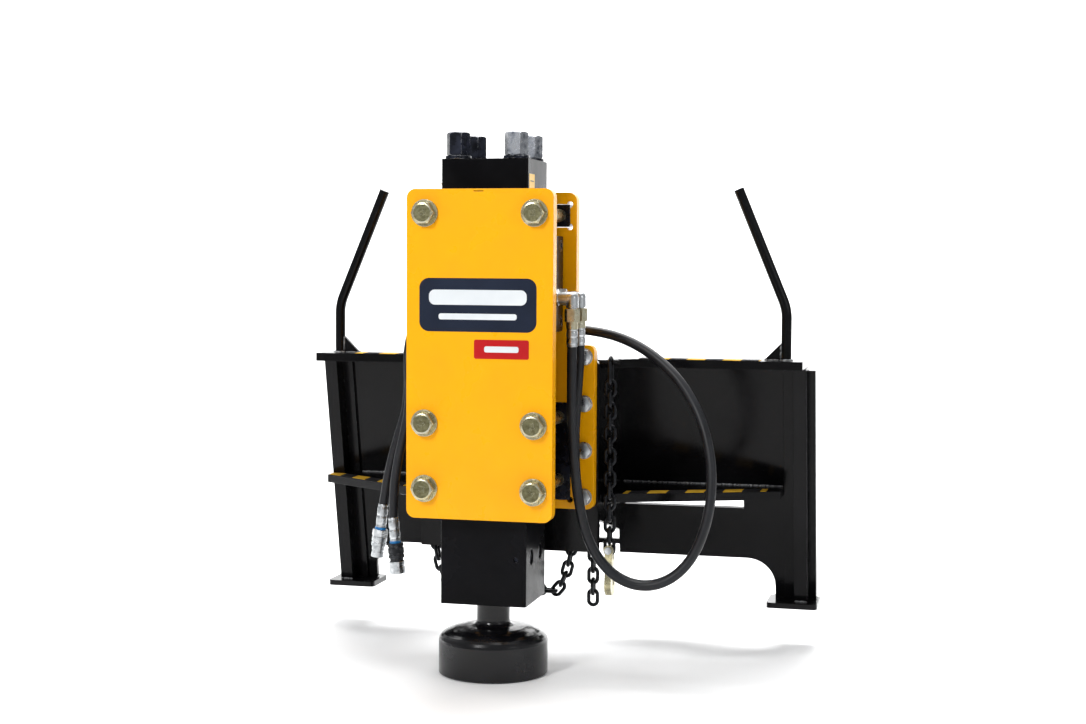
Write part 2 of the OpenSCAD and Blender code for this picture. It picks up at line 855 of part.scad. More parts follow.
// A step on side m: its front edge slants back from the box to the leg
module step(m) {
  x0 = m * box_w / 2;
  rear = lean_y(step_z);
  leg_x = frame_shift + m * (leg_in - 1);
  bar_x = frame_shift + m * (leg_in - edge_bar_w - 1);
  linear_extrude(deck_t) polygon(m > 0
    ? [[x0, step_nose_y], [bar_x, right_step_y], [bar_x, rear], [x0, rear]]
    : [[x0, back_y + 2], [step_end_x, left_step_y], [step_end_x, rear - leg_fore - 1],
       [leg_x, rear - leg_fore - 1], [leg_x, rear - edge_bar_t - 1],
       [bar_x, rear - edge_bar_t - 1], [bar_x, rear], [x0, rear]]);
}

module steps() {
  color(frame_black) translate([0, 0, step_z0]) {
    step(1);
    step(-1);
  }
}

// Half of the panel's outline on side m: level lower edge, quarter-round arch, leg and top corner
function panel_half(m, top) = concat(
  [for (a = [0:10:90]) [m * (arch_x - arch_r + arch_r * sin(a)), up(panel_low_z) - arch_r * (1 - cos(a))]],
  [[m * arch_x, up(foot_top)], [m * leg_in, up(foot_top)], [m * leg_in, top]]
);
function reversed(p) = [for (i = [len(p) - 1:-1:0]) p[i]];

module back_panel() {
  top = (deck_z0 - step_z - panel_t * sin(lean)) / cos(lean);
  color(frame_black) leaning() along_y(0, panel_t) difference() {
    polygon(concat(panel_half(1, top), reversed(panel_half(-1, top))));
    translate([-frame_shift - notch_w / 2, up(panel_low_z) - eps])
      square([notch_w, up(notch_z) - up(panel_low_z)]);
    for (m = [-1, 1])
      let (a = m * window_x, b = m * box_w / 2 - frame_shift + m * 6)
        translate([min(a, b), up(window_z0)]) square([abs(b - a), up(window_z1) - up(window_z0)]);
  }
}

module cross_bar() {
  color(frame_black) translate([-box_w / 2 + box_side_t, lean_y(cross_bar_z), cross_bar_z])
    cube([notch_w, cross_bar_d, cross_bar_h]);
}

// A leaning bar whose ends are cut level: fore and aft are counted from the panel's front face
module leaning_bar(x0, x1, fore, aft, z0, z1) {
  along_x(x0, x1, [[lean_y(z0) - fore, z0], [lean_y(z0) + aft, z0],
                   [lean_y(z1) + aft, z1], [lean_y(z1) - fore, z1]]);
}

module legs() {
  color(frame_black) translate([frame_shift, 0, 0]) both_sides() {
    leaning_bar(leg_in, leg_out, leg_fore, leg_d - leg_fore, foot_top, deck_z0);
    leaning_bar(leg_in - edge_bar_w, leg_in - 0.5, edge_bar_t, -0.3, foot_top, deck_z0);
  }
}

module side_bars() {
  color(frame_black) translate([frame_shift, 0, 0]) both_sides()
    leaning_bar(leg_out, leg_out + bar_w, -2, bar_aft, foot_top, top_z - 24);
}

module feet() {
  color(frame_black) translate([frame_shift, 0, 0]) both_sides()
    translate([(foot_in + foot_out) / 2, (foot_y0 + foot_y1) / 2, foot_z]) linear_extrude(foot_t)
      round_square(foot_out - foot_in, foot_y1 - foot_y0, 10);
}

module hook_rail() {
  s = up(deck_z0) - 14;
  color(frame_black) leaning() rotate([90, 0, 90]) translate([0, 0, -leg_in + 2]) linear_extrude(2 * leg_in - 4)
    polygon([[panel_t, s - 12], [panel_t, s], [58, s], [70, s - 34], [60, s - 38], [50, s - 12]]);
}

module lower_lips() {
  s = up(panel_low_z);
  x_in = box_w / 2;
  color(frame_black) leaning() for (m = [-1, 1]) difference() {
    let (a = m * x_in - frame_shift, b = m * (arch_x - arch_r))
      translate([min(a, b), panel_t, s]) cube([abs(b - a), 52, 10]);
    translate([m * (arch_x - arch_r - 60) - 25, panel_t + 14, s - eps]) cube([50, 28, 10 + 2 * eps]);
  }
}

module guide_rods() {
  color(frame_black) translate([frame_shift, rod_base_y, top_z]) both_sides() {
    translate([rod_base_x, 0, 0]) cyl(rod_d / 2, 0, rod_straight);
    translate([rod_base_x - rod_bend_r, 0, rod_straight]) rotate([0, -rod_bend, 0]) {
      rotate([90, 0, 0]) rotate([0, 0, -rod_bend]) rotate_extrude(angle = rod_bend)
        translate([rod_bend_r, 0]) circle(rod_d / 2);
      translate([rod_bend_r, 0, 0]) cyl(rod_d / 2, 0, rod_slant);
    }
  }
}

module rod_gussets() {
  color(frame_black) translate([frame_shift, 0, top_z]) both_sides()
    along_y(rod_base_y - gusset_t / 2, rod_base_y + gusset_t / 2)
      translate([rod_base_x - rod_d / 2, 0]) polygon([[-gusset, 0], [0, 0], [0, gusset]]);
}

// A strip of grip tape laid between two points of a front edge
module tape(a, b) {
  linear_extrude(tape_t) polygon([a, b, b + [0, tape_w], a + [0, tape_w]]);
}

// Point at distance x from the tool axis on a line through a and b, set back from it by the tape's margin
function on_edge(a, b, x) = [x, a[1] + (x - a[0]) * (b[1] - a[1]) / (b[0] - a[0]) + tape_margin];

module grip_tapes() {
  w = box_w / 2;
  x_end = frame_w / 2 - 90;
  right = [[w, step_nose_y], [frame_shift + leg_in - edge_bar_w, right_step_y]];
  left = [[step_end_x, left_step_y], [-w, back_y + 2]];
  color("#c9b45a") {
    translate([0, 0, top_z]) {
      tape([deck_nose_x + 8, deck_front_y + tape_margin], [frame_shift + x_end, deck_front_y + tape_margin]);
      tape([frame_shift - x_end, deck_front_y + tape_margin], [-deck_nose_x - 8, deck_front_y + tape_margin]);
    }
    translate([0, 0, step_z]) {
      tape(on_edge(right[0], right[1], w + 44), on_edge(right[0], right[1], right[1][0] - 30));
      difference() {
        tape(on_edge(left[0], left[1], step_end_x + 4), on_edge(left[0], left[1], -w - 20));
        translate([step_end_x, lean_y(step_z) - leg_fore - 2, -eps])
          cube([leg_w + 8, tape_w, tape_t + 2 * eps]);
      }
    }
  }
}

// ---- Chains ----

// One link of inner length p and outer width w, centred, long along Z, flat in the XZ plane
module link(p = link_pitch, w = link_w) {
  r = (w - wire_d) / 2;
  half = (p + wire_d) / 2 - r;
  for (m = [0, 1]) mirror([0, 0, m]) translate([0, 0, half]) rotate([90, 0, 0])
    rotate_extrude(angle = 180) translate([r, 0]) circle(wire_d / 2, $fn = 24);
  for (x = [-r, r]) translate([x, 0, 0]) cylinder(r = wire_d / 2, h = 2 * half, center = true, $fn = 24);
}

// A pin along Y with a cap, on a lug that hangs from the box
module swag_peg() {
  translate([-swag_lug[0] / 2, 0, -swag_peg_r - 4]) cube(swag_lug);
  bar_y(swag_peg_r, 0, 64);
  bar_y(9, 64, 68);
}

module chain_pegs() {
  color(frame_black) {
    translate(long_peg) {
      bar_x(peg_r, 0, 40);
      bar_x(7.5, 40, 45);
    }
    for (x = swag_xs, m = [-1, 1]) translate([x + m * swag_top[0], box_front_y, swag_peg_z]) swag_peg();
    translate([tail_x, box_front_y, tail_peg_z]) swag_peg();
  }
}

// The oval ring hangs on the long chain's peg, and the links hang below it
ring_z = long_peg[2] + peg_r + link_gap - top_ring[0] / 2;
long_z0 = ring_z - top_ring[0] / 2 + link_gap - link_pitch / 2;
function long_z(i) = long_z0 - i * link_step;

module long_chain() {
  color(frame_black) translate([long_chain_x, long_peg[1], 0]) {
    translate([0, 0, ring_z]) rotate([0, 0, 90]) link(top_ring[0], top_ring[1]);
    for (i = [0:long_links - 1]) translate([0, 0, long_z(i)]) rotate([0, 0, i % 2 == 0 ? 0 : 90]) link();
  }
}

hook_z = long_z(long_links - 1) - link_pitch / 2 + hook_pin_r + link_gap;

module hook_pin() {
  color(zinc) translate([long_chain_x, long_peg[1], hook_z]) {
    bar_y(hook_pin_r, -15, 15);
    bar_y(7.5, -17, -13.2);
  }
}

// Clevis grab hook: two ears, a shank and a bowl with a narrow slot, in the YZ plane
module grab_hook() {
  color(olive_zinc) translate([long_chain_x, long_peg[1], hook_z]) difference() {
    union() {
      bar_y(10.5, -13, 13);
      translate([-8, -13, -34]) cube([16, 26, 34]);
      translate([-7, 0, 0]) rotate([90, 0, 90]) linear_extrude(14) difference() {
        union() {
          translate([5, -72]) circle(25);
          polygon([[-13, -30], [13, -30], [10, -60], [-20, -72]]);
        }
        translate([8, -70]) circle(6);
        translate([2, -70]) square([12, 50]);
        translate([-20, -120]) square([60, 23.5]);
      }
    }
    translate([-20, -wire_d / 2 - 0.6, -20]) cube([40, wire_d + 1.2, 40]);
    bar_y(hook_pin_r + run_gap, -20, 20);
    translate([0, -13.2 - eps, 0]) bar_y(7.6, -10, 0);
  }
}

// Distance from a link's centre to where its neighbour turns: inside a face-on link that is its
// neighbour's wire, seated in the end of the link
function reach(i) = i % 2 == 0 ? link_half : (link_pitch - wire_d) / 2 - link_gap;

// Direction of a swag's link from level: each link out from the lowest hangs steeper, the last upright
function swag_angle(i) = i == swag_half_links ? 90 : atan(i * link_pitch / swag_curve);
function swag_dir(i) = [cos(swag_angle(i)), sin(swag_angle(i))];

// Outer end of a swag's link i, counted from the middle of the lowest link
function swag_joint(i) = i == 0 ? [reach(0), 0] : swag_joint(i - 1) + 2 * reach(i) * swag_dir(i);
swag_top = swag_joint(swag_half_links);

// Height of a hanging link's centre on a peg at height z
function hung(z) = z + swag_peg_r + link_gap - link_pitch / 2;

module swag_chain() {
  rotate([90, 0, 0]) rotate([0, 90, 0]) link();
  for (m = [-1, 1], i = [1:swag_half_links]) {
    p = swag_joint(i - 1) + reach(i) * swag_dir(i);
    translate([m * p[0], 0, p[1]]) rotate([0, m * (90 - swag_angle(i)), 0])
      rotate([0, 0, i % 2 == 1 ? 0 : 90]) link();
  }
}

module swag_chains() {
  color(frame_black) for (x = swag_xs)
    translate([x, swag_y, swag_peg_z - swag_top[1]]) swag_chain();
}

module tail_chain() {
  color(frame_black) for (i = [0:tail_links - 1])
    translate([tail_x, swag_y, hung(tail_peg_z) - i * link_step])
      rotate([0, 0, i % 2 == 0 ? 0 : 90]) link();
}

driver_tool();
front_head();
tool_bushes();
retaining_pins();
stop_pins();
grease_nipple();
cylinder_block();  // cylinder
piston();
piston_seals();
seal_carrier();
back_head();
gas_valve();
tie_rods();
tie_rod_nuts();
tie_rod_washers();
valve_chest();
valve_spool();
valve_cap();
valve_screws();
port_adaptors();
hose_elbows();
elbow_nuts();
ferrules_a();
ferrules_b();
hose_a();
hose_b();
coupler_rings();
male_coupler();
female_coupler();
coupler_sleeve();
wear_pads();
front_side_plate();
back_side_plate();
side_bolts();
side_bolt_washers();
nut_blocks();
nut_bars();
flange_bolts();
flange_washers();
flange_nuts();
box_front_plate();
box_side_plates();
top_plate();
steps();
back_panel();
cross_bar();
legs();
side_bars();
feet();
hook_rail();
lower_lips();
guide_rods();
rod_gussets();
grip_tapes();
chain_pegs();
long_chain();
grab_hook();
hook_pin();
swag_chains();
tail_chain();
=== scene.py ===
"""Looks of a post driver attachment: hammer, side plates, loader frame, hoses and chains.

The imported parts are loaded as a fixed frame. Classes below dress them and add the turned, welded,
printed and moulded detail that the eye looks for.
"""

import logging
import math
from dataclasses import dataclass
from enum import Enum

import bpy
import numpy as np
from mathutils import Matrix, Vector


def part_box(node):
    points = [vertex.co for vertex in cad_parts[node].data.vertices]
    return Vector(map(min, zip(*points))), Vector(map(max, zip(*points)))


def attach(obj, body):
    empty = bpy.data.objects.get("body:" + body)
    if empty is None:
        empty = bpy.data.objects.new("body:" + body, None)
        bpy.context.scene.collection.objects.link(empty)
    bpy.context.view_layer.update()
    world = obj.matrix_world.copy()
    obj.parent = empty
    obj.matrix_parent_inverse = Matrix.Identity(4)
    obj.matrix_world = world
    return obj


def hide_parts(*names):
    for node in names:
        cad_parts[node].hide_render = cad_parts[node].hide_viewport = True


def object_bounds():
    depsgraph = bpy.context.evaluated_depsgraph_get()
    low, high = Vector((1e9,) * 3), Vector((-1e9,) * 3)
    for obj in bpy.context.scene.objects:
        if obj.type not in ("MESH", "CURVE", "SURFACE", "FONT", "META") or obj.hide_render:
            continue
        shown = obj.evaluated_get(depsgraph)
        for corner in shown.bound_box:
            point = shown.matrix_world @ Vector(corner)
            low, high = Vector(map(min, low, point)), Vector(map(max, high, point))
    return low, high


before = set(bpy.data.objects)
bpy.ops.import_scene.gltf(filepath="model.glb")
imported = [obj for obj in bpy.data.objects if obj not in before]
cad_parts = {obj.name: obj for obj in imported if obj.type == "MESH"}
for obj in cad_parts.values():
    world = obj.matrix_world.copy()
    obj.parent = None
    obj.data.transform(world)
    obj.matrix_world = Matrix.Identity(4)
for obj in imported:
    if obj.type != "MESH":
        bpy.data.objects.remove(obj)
CAD_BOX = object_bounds()
LOG = logging.getLogger("post_driver")
MM = 0.001

Vec = tuple[float, float, float]


# ---- small helpers ----


def linear(hex_colour: str) -> tuple[float, float, float, float]:
    """Turns an sRGB hex colour into linear RGBA.

    Args:
        hex_colour: Six hex digits, such as "FDB004".
    Returns:
        Linear red, green, blue and an alpha of one.
    """
    srgb = np.array([int(hex_colour[i : i + 2], 16) for i in (0, 2, 4)]) / 255.0
    rgb = np.where(srgb <= 0.04045, srgb / 12.92, ((srgb + 0.055) / 1.055) ** 2.4)
    return (float(rgb[0]), float(rgb[1]), float(rgb[2]), 1.0)


def add_node(
    tree: bpy.types.NodeTree, kind: str, settings: dict | None = None, links: dict | None = None
) -> bpy.types.Node:
    """Adds one shader node with its settings and links.

    Args:
        tree: The node tree that gets the node.
        kind: Type name of the node.
        settings: Attribute names, or input names or numbers, to their values.
        links: Input names or numbers to the sockets that feed them.
    Returns:
        The new node.
    """
    node = tree.nodes.new(kind)
    for key, value in (settings or {}).items():
        if isinstance(key, str) and hasattr(node, key):
            setattr(node, key, value)
        else:
            node.inputs[key].default_value = value
    for key, socket in (links or {}).items():
        tree.links.new(socket, node.inputs[key])
    return node


def place(points: np.ndarray, origin: Vec, axis: Vec = (0, 0, 1), ahead: Vec = (1, 0, 0)) -> np.ndarray:
    """Moves local points so that their Z runs along axis.

    Args:
        points: Array of points, last dimension x, y, z.
        origin: Where the local origin goes.
        axis: Direction of the local Z.
        ahead: Direction that the local X is closest to.
    Returns:
        The points in the row frame.
    """
    z = np.array(axis, float) / np.linalg.norm(axis)
    x = np.array(ahead, float) - np.dot(ahead, z) * z
    x /= np.linalg.norm(x)
    return points @ np.stack([x, np.cross(z, x), z]) + np.array(origin, float)


class Surface:
    """Vertices and faces gathered from several grids into one mesh."""

    def __init__(self) -> None:
        """Starts with nothing."""
        self.points: list[np.ndarray] = []
        self.faces: list[list[int]] = []
        self.count = 0

    def grid(self, points: np.ndarray, ring: bool = False) -> "Surface":
        """Adds a tube: rows of points, each row a closed loop, joined row to row.

        Args:
            points: Array of rows, loop points and coordinates.
            ring: Whether the last row joins the first, rather than both being closed by flat faces.
        Returns:
            This surface.
        """
        rows, cols = points.shape[:2]
        index = np.arange(rows * cols).reshape(rows, cols) + self.count
        right = np.roll(index, -1, axis=1)
        quads = np.stack([index, right, np.roll(right, -1, axis=0), np.roll(index, -1, axis=0)], axis=-1)
        self.faces += quads[: rows if ring else rows - 1].reshape(-1, 4).tolist()
        if not ring:
            self.faces += [index[0, ::-1].tolist(), index[-1].tolist()]
        self.points.append(points.reshape(-1, 3))
        self.count += rows * cols
        return self

    def sheet(self, points: np.ndarray) -> "Surface":
        """Adds an open sheet: a plain grid of points joined into quads.

        Args:
            points: Array of rows, columns and coordinates.
        Returns:
            This surface.
        """
        rows, cols = points.shape[:2]
        index = np.arange(rows * cols).reshape(rows, cols) + self.count
        quads = np.stack([index[:-1, :-1], index[:-1, 1:], index[1:, 1:], index[1:, :-1]], axis=-1)
        self.faces += quads.reshape(-1, 4).tolist()
        self.points.append(points.reshape(-1, 3))
        self.count += rows * cols
        return self

    def build(self, name: str, finish: "Finish", smooth: bool = True) -> bpy.types.Object:
        """Makes the mesh object.

        Args:
            name: Name of the object.
            finish: Finish that it wears.
            smooth: Whether shading blends over shallow edges.
        Returns:
            The object, at the origin.
        """
        mesh = bpy.data.meshes.new(name)
        mesh.from_pydata(np.concatenate(self.points), [], self.faces)
        mesh.update()
        if smooth:
            mesh.shade_smooth()
            mesh.set_sharp_from_angle(angle=math.radians(32))
        mesh.materials.append(finish.material())
        thing = bpy.data.objects.new(name, mesh)
        bpy.context.scene.collection.objects.link(thing)
        return thing


def turned(profile: np.ndarray, sides: int = 48) -> np.ndarray:
    """Rows of loops for a turned shape: each profile point (r, z) is carried round the Z axis.

    Args:
        profile: Array of radius and height.
        sides: Points in each loop.
    Returns:
        Array of rows, sides and coordinates.
    """
    angle = np.linspace(0, 2 * math.pi, sides, endpoint=False)
    r, z = profile[:, 0][:, None], profile[:, 1][:, None]
    return np.stack([r * np.cos(angle), r * np.sin(angle), z + 0 * angle], axis=-1)


def hexagonal(flats: float, height: float, both_ends: bool = False, sides: int = 72) -> np.ndarray:
    """Rows of loops for a hexagonal head with chamfered corners.

    At each angle the radius is the smaller of the hexagon's own radius and that of a 30 degree cone
    which comes in towards the top, so that the chamfer meets each flat in an arc.

    Args:
        flats: Width across the flats.
        height: Height of the head.
        both_ends: Whether the lower end is chamfered too, as on a nut.
        sides: Points in each loop.
    Returns:
        Array of rows, sides and coordinates.
    """
    angle = np.linspace(0, 2 * math.pi, sides, endpoint=False)
    turn = np.mod(angle, math.pi / 3) - math.pi / 6
    hexagon = flats / 2 / np.cos(turn)
    drop = flats / 2 * (2 / math.sqrt(3) - 0.95) * math.tan(math.radians(30))
    z = np.concatenate([np.linspace(0, drop, 5), [height / 2], np.linspace(height - drop, height, 5)])
    slope = 1 / math.tan(math.radians(30))
    cone_top = flats / 2 * 0.95 + (height - z) * slope
    cone_low = flats / 2 * 0.95 + z * slope if both_ends else np.full_like(z, flats)
    limit = np.minimum(cone_top, cone_low)[:, None]
    r = np.minimum(hexagon[None, :], limit)
    return np.stack([r * np.cos(angle), r * np.sin(angle), z[:, None] + 0 * angle], axis=-1)


def smooth_path(points: np.ndarray, steps: int) -> np.ndarray:
    """A smooth line through points: on each span the four nearest points weigh a cubic.

    Args:
        points: Array of points.
        steps: Samples on each span.
    Returns:
        Array of points along the line.
    """
    p = np.concatenate([2 * points[:1] - points[1:2], points, 2 * points[-1:] - points[-2:-1]])
    t = np.linspace(0, 1, steps, endpoint=False)[None, :, None]
    a, b, c, d = p[:-3, None], p[1:-2, None], p[2:-1, None], p[3:, None]
    line = 0.5 * (2 * b + (c - a) * t + (2 * a - 5 * b + 4 * c - d) * t**2 + (3 * b - a - 3 * c + d) * t**3)
    return np.concatenate([line.reshape(-1, 3), points[-1:]])


def along(path: np.ndarray, radius: np.ndarray, sides: int, up: Vec = (0, 1, 0)) -> np.ndarray:
    """Rows of loops for a tube: a circle of the given radius carried square to the path.

    Args:
        path: Array of points.
        radius: Radius at each point.
        sides: Points in each loop.
        up: Direction that the loops' first point stays nearest to.
    Returns:
        Array of rows, sides and coordinates.
    """
    tangent = np.gradient(path, axis=0)
    tangent /= np.linalg.norm(tangent, axis=1)[:, None]
    side = np.array(up, float) - (tangent @ np.array(up, float))[:, None] * tangent
    side /= np.linalg.norm(side, axis=1)[:, None]
    other = np.cross(tangent, side)
    angle = np.linspace(0, 2 * math.pi, sides, endpoint=False)
    ring = np.cos(angle)[None, :, None] * side[:, None] + np.sin(angle)[None, :, None] * other[:, None]
    return path[:, None] + radius[:, None, None] * ring


def rounded(width: float, height: float, radius: float, thick: float) -> np.ndarray:
    """Rows of loops for a thin plate with round corners: each corner is a quarter circle.

    Args:
        width: Size along the local X.
        height: Size along the local Y.
        radius: Radius of the corners.
        thick: Thickness along the local Z.
    Returns:
        Array of two rows, loop points and coordinates.
    """
    angle = np.linspace(0, 2 * math.pi, 48, endpoint=False) + math.pi / 48
    x = np.sign(np.cos(angle)) * (width / 2 - radius) + radius * np.cos(angle)
    y = np.sign(np.sin(angle)) * (height / 2 - radius) + radius * np.sin(angle)
    return np.stack([np.stack([x, y, 0 * x], axis=-1), np.stack([x, y, 0 * x + thick], axis=-1)])


def bead(start: Vec, stop: Vec, radius: float) -> np.ndarray:
    """Rows of loops for a weld bead: a tube whose radius ripples every 2.4 mm and closes at its ends.

    Args:
        start: First end.
        stop: Last end.
        radius: Mean radius.
    Returns:
        Array of rows, sides and coordinates.
    """
    a, b = np.array(start, float), np.array(stop, float)
    length = float(np.linalg.norm(b - a))
    s = np.linspace(0, length, max(8, int(length / 0.0006)))
    ripple = 1 + 0.10 * np.abs(np.sin(math.pi * s / 0.0024)) + 0.05 * np.sin(s / 0.0071)
    ends = np.sqrt(np.clip(np.minimum(s, length - s) / radius, 0.02, 1.0))
    path = a + (b - a) * (s / length)[:, None]
    return along(path, radius * ripple * ends, 10, (0.3, 0.5, 0.8))


def bead_ring(middle: Vec, round_radius: float, radius: float) -> np.ndarray:
    """Rows of loops for a round weld bead: a rippled circle carried round the Z axis.

    Args:
        middle: Centre of the ring.
        round_radius: Radius of the ring.
        radius: Mean radius of the bead.
    Returns:
        Array of rows, sides and coordinates, whose last row meets the first.
    """
    u = np.linspace(0, 2 * math.pi, 150, endpoint=False)[:, None]
    v = np.linspace(0, 2 * math.pi, 10, endpoint=False)[None, :]
    thick = radius * (1 + 0.1 * np.abs(np.sin(16 * u)))
    r = round_radius + thick * np.cos(v)
    return np.stack([r * np.cos(u), r * np.sin(u), -thick * np.sin(v)], axis=-1) + np.array(middle)


# ---- finishes ----


@dataclass(frozen=True)
class Finish:
    """A surface finish made from noise in real sizes.

    Colour drifts between two shades, roughness between two values, a fine grain lifts the surface,
    and lighter patches at the edges stand for wear through the coat, and on the bright nuts and zinc partly
    for painted highlights.
    """

    name: str
    colour: str
    shade: str
    rough: tuple[float, float] = (0.3, 0.45)
    metallic: float = 0.0
    drift_mm: float = 120.0
    grain_mm: float = 2.5
    grain_lift_mm: float = 0.05
    edge_mm: float = 1.2
    patch_mm: float = 9.0
    edge_wear_and_sheen: str = ""
    wear_and_sheen_spread: float = 0.5
    specular: float = 0.5

    def colours(
        self, tree: bpy.types.NodeTree, where: bpy.types.NodeSocket, drift: bpy.types.NodeSocket
    ) -> bpy.types.NodeSocket:
        """Socket with the base colour: the two shades mixed by the drift.

        Args:
            tree: Node tree.
            where: Socket with coordinates; not used.
            drift: Socket with slow noise.
        Returns:
            A colour socket.
        """
        mix = add_node(
            tree,
            "ShaderNodeMix",
            {"data_type": "RGBA", 6: linear(self.colour), 7: linear(self.shade)},
            {0: drift},
        )
        return mix.outputs[2]

    def relief(self, tree: bpy.types.NodeTree, where: bpy.types.NodeSocket) -> bpy.types.NodeSocket:
        """Socket with the height of the fine grain.

        Args:
            tree: Node tree.
            where: Socket with coordinates.
        Returns:
            A value socket.
        """
        scale = 1000 / self.grain_mm
        grain = add_node(tree, "ShaderNodeTexNoise", {"Scale": scale, "Detail": 2.0}, {"Vector": where})
        return grain.outputs[0]

    def material(self) -> bpy.types.Material:
        """The material, made once and then kept.

        Returns:
            The material with this finish's name.
        """
        known = bpy.data.materials.get(self.name)
        if known:
            return known
        made = bpy.data.materials.new(self.name)
        made.use_nodes = True
        tree = made.node_tree
        shader = tree.nodes["Principled BSDF"]
        where = add_node(tree, "ShaderNodeTexCoord").outputs["Object"]
        scale = 1000 / self.drift_mm
        slow = add_node(tree, "ShaderNodeTexNoise", {"Scale": scale, "Detail": 5.0}, {"Vector": where})
        drift = add_node(
            tree, "ShaderNodeMapRange", {"From Min": 0.35, "From Max": 0.7}, {"Value": slow.outputs[0]}
        ).outputs[0]
        colour = self.colours(tree, where, drift)
        rough = add_node(
            tree, "ShaderNodeMapRange", {"To Min": self.rough[0], "To Max": self.rough[1]}, {"Value": drift}
        ).outputs[0]
        bevel = add_node(tree, "ShaderNodeBevel", {"samples": 4, "Radius": self.edge_mm * MM})
        # Edge patches take the lighter colour: rubbed metal on most finishes, and partly a painted highlight
        # on the yellow zinc and the bright nuts.
        if self.edge_wear_and_sheen:
            flat = add_node(tree, "ShaderNodeNewGeometry").outputs["True Normal"]
            facing = add_node(
                tree, "ShaderNodeVectorMath", {"operation": "DOT_PRODUCT"}, {0: bevel.outputs[0], 1: flat}
            ).outputs["Value"]
            edge = add_node(
                tree, "ShaderNodeMapRange", {"From Min": 0.995, "From Max": 0.9}, {"Value": facing}
            ).outputs[0]
            scale = 1000 / self.patch_mm
            patch_noise = add_node(tree, "ShaderNodeTexNoise", {"Scale": scale, "Detail": 4.0}, {"Vector": where})
            wear_and_sheen_patches = add_node(
                tree,
                "ShaderNodeMapRange",
                {"From Min": 0.62 - 0.2 * self.wear_and_sheen_spread, "From Max": 0.68 - 0.1 * self.wear_and_sheen_spread},
                {"Value": patch_noise.outputs[0]},
            ).outputs[0]
            wear_and_sheen_mask = add_node(
                tree, "ShaderNodeMath", {"operation": "MULTIPLY"}, {0: edge, 1: wear_and_sheen_patches}
            ).outputs[0]
            wear_and_sheen_mix = add_node(
                tree, "ShaderNodeMix", {"data_type": "RGBA", 7: linear(self.edge_wear_and_sheen)}, {0: wear_and_sheen_mask, 6: colour}
            )
            colour = wear_and_sheen_mix.outputs[2]
        bump = add_node(
            tree,
            "ShaderNodeBump",
            {"Strength": 0.6, "Distance": self.grain_lift_mm * MM},
            {"Height": self.relief(tree, where), "Normal": bevel.outputs[0]},
        )
        tree.links.new(colour, shader.inputs["Base Color"])
        tree.links.new(rough, shader.inputs["Roughness"])
        tree.links.new(bump.outputs[0], shader.inputs["Normal"])
        shader.inputs["Metallic"].default_value = self.metallic
        shader.inputs["Specular IOR Level"].default_value = self.specular
        return made


@dataclass(frozen=True)
class Banded(Finish):
    """Grit tape laid as patches in turn yellow and dark along X."""

    other: str = "1A1A1C"
    band_mm: float = 38.0

    def colours(
        self, tree: bpy.types.NodeTree, where: bpy.types.NodeSocket, drift: bpy.types.NodeSocket
    ) -> bpy.types.NodeSocket:
        """Socket with the patch colours: the sign of a square wave along X picks one of two.

        Args:
            tree: Node tree.
            where: Socket with coordinates.
            drift: Socket with slow noise.
        Returns:
            A colour socket.
        """
        plain = super().colours(tree, where, drift)
        x = add_node(tree, "ShaderNodeSeparateXYZ", None, {0: where}).outputs[0]
        turn = add_node(
            tree, "ShaderNodeMath", {"operation": "PINGPONG", 1: self.band_mm * MM}, {0: x}
        ).outputs[0]
        pick = add_node(
            tree, "ShaderNodeMath", {"operation": "GREATER_THAN", 1: self.band_mm * MM / 2}, {0: turn}
        ).outputs[0]
        mix = add_node(
            tree, "ShaderNodeMix", {"data_type": "RGBA", 7: linear(self.other)}, {0: pick, 6: plain}
        )
        return mix.outputs[2]


@dataclass(frozen=True)
class Threaded(Finish):
    """Bright steel with a rolled thread: ridges a pitch apart along Z."""

    pitch_mm: float = 3.0

    def relief(self, tree: bpy.types.NodeTree, where: bpy.types.NodeSocket) -> bpy.types.NodeSocket:
        """Socket with the thread's height: a triangle wave along Z.

        Args:
            tree: Node tree.
            where: Socket with coordinates.
        Returns:
            A value socket.
        """
        z = add_node(tree, "ShaderNodeSeparateXYZ", None, {0: where}).outputs[2]
        wave = add_node(
            tree, "ShaderNodeMath", {"operation": "PINGPONG", 1: self.pitch_mm * MM / 2}, {0: z}
        ).outputs[0]
        scaled = add_node(
            tree, "ShaderNodeMath", {"operation": "MULTIPLY", 1: 1000 / self.pitch_mm}, {0: wave}
        )
        return scaled.outputs[0]


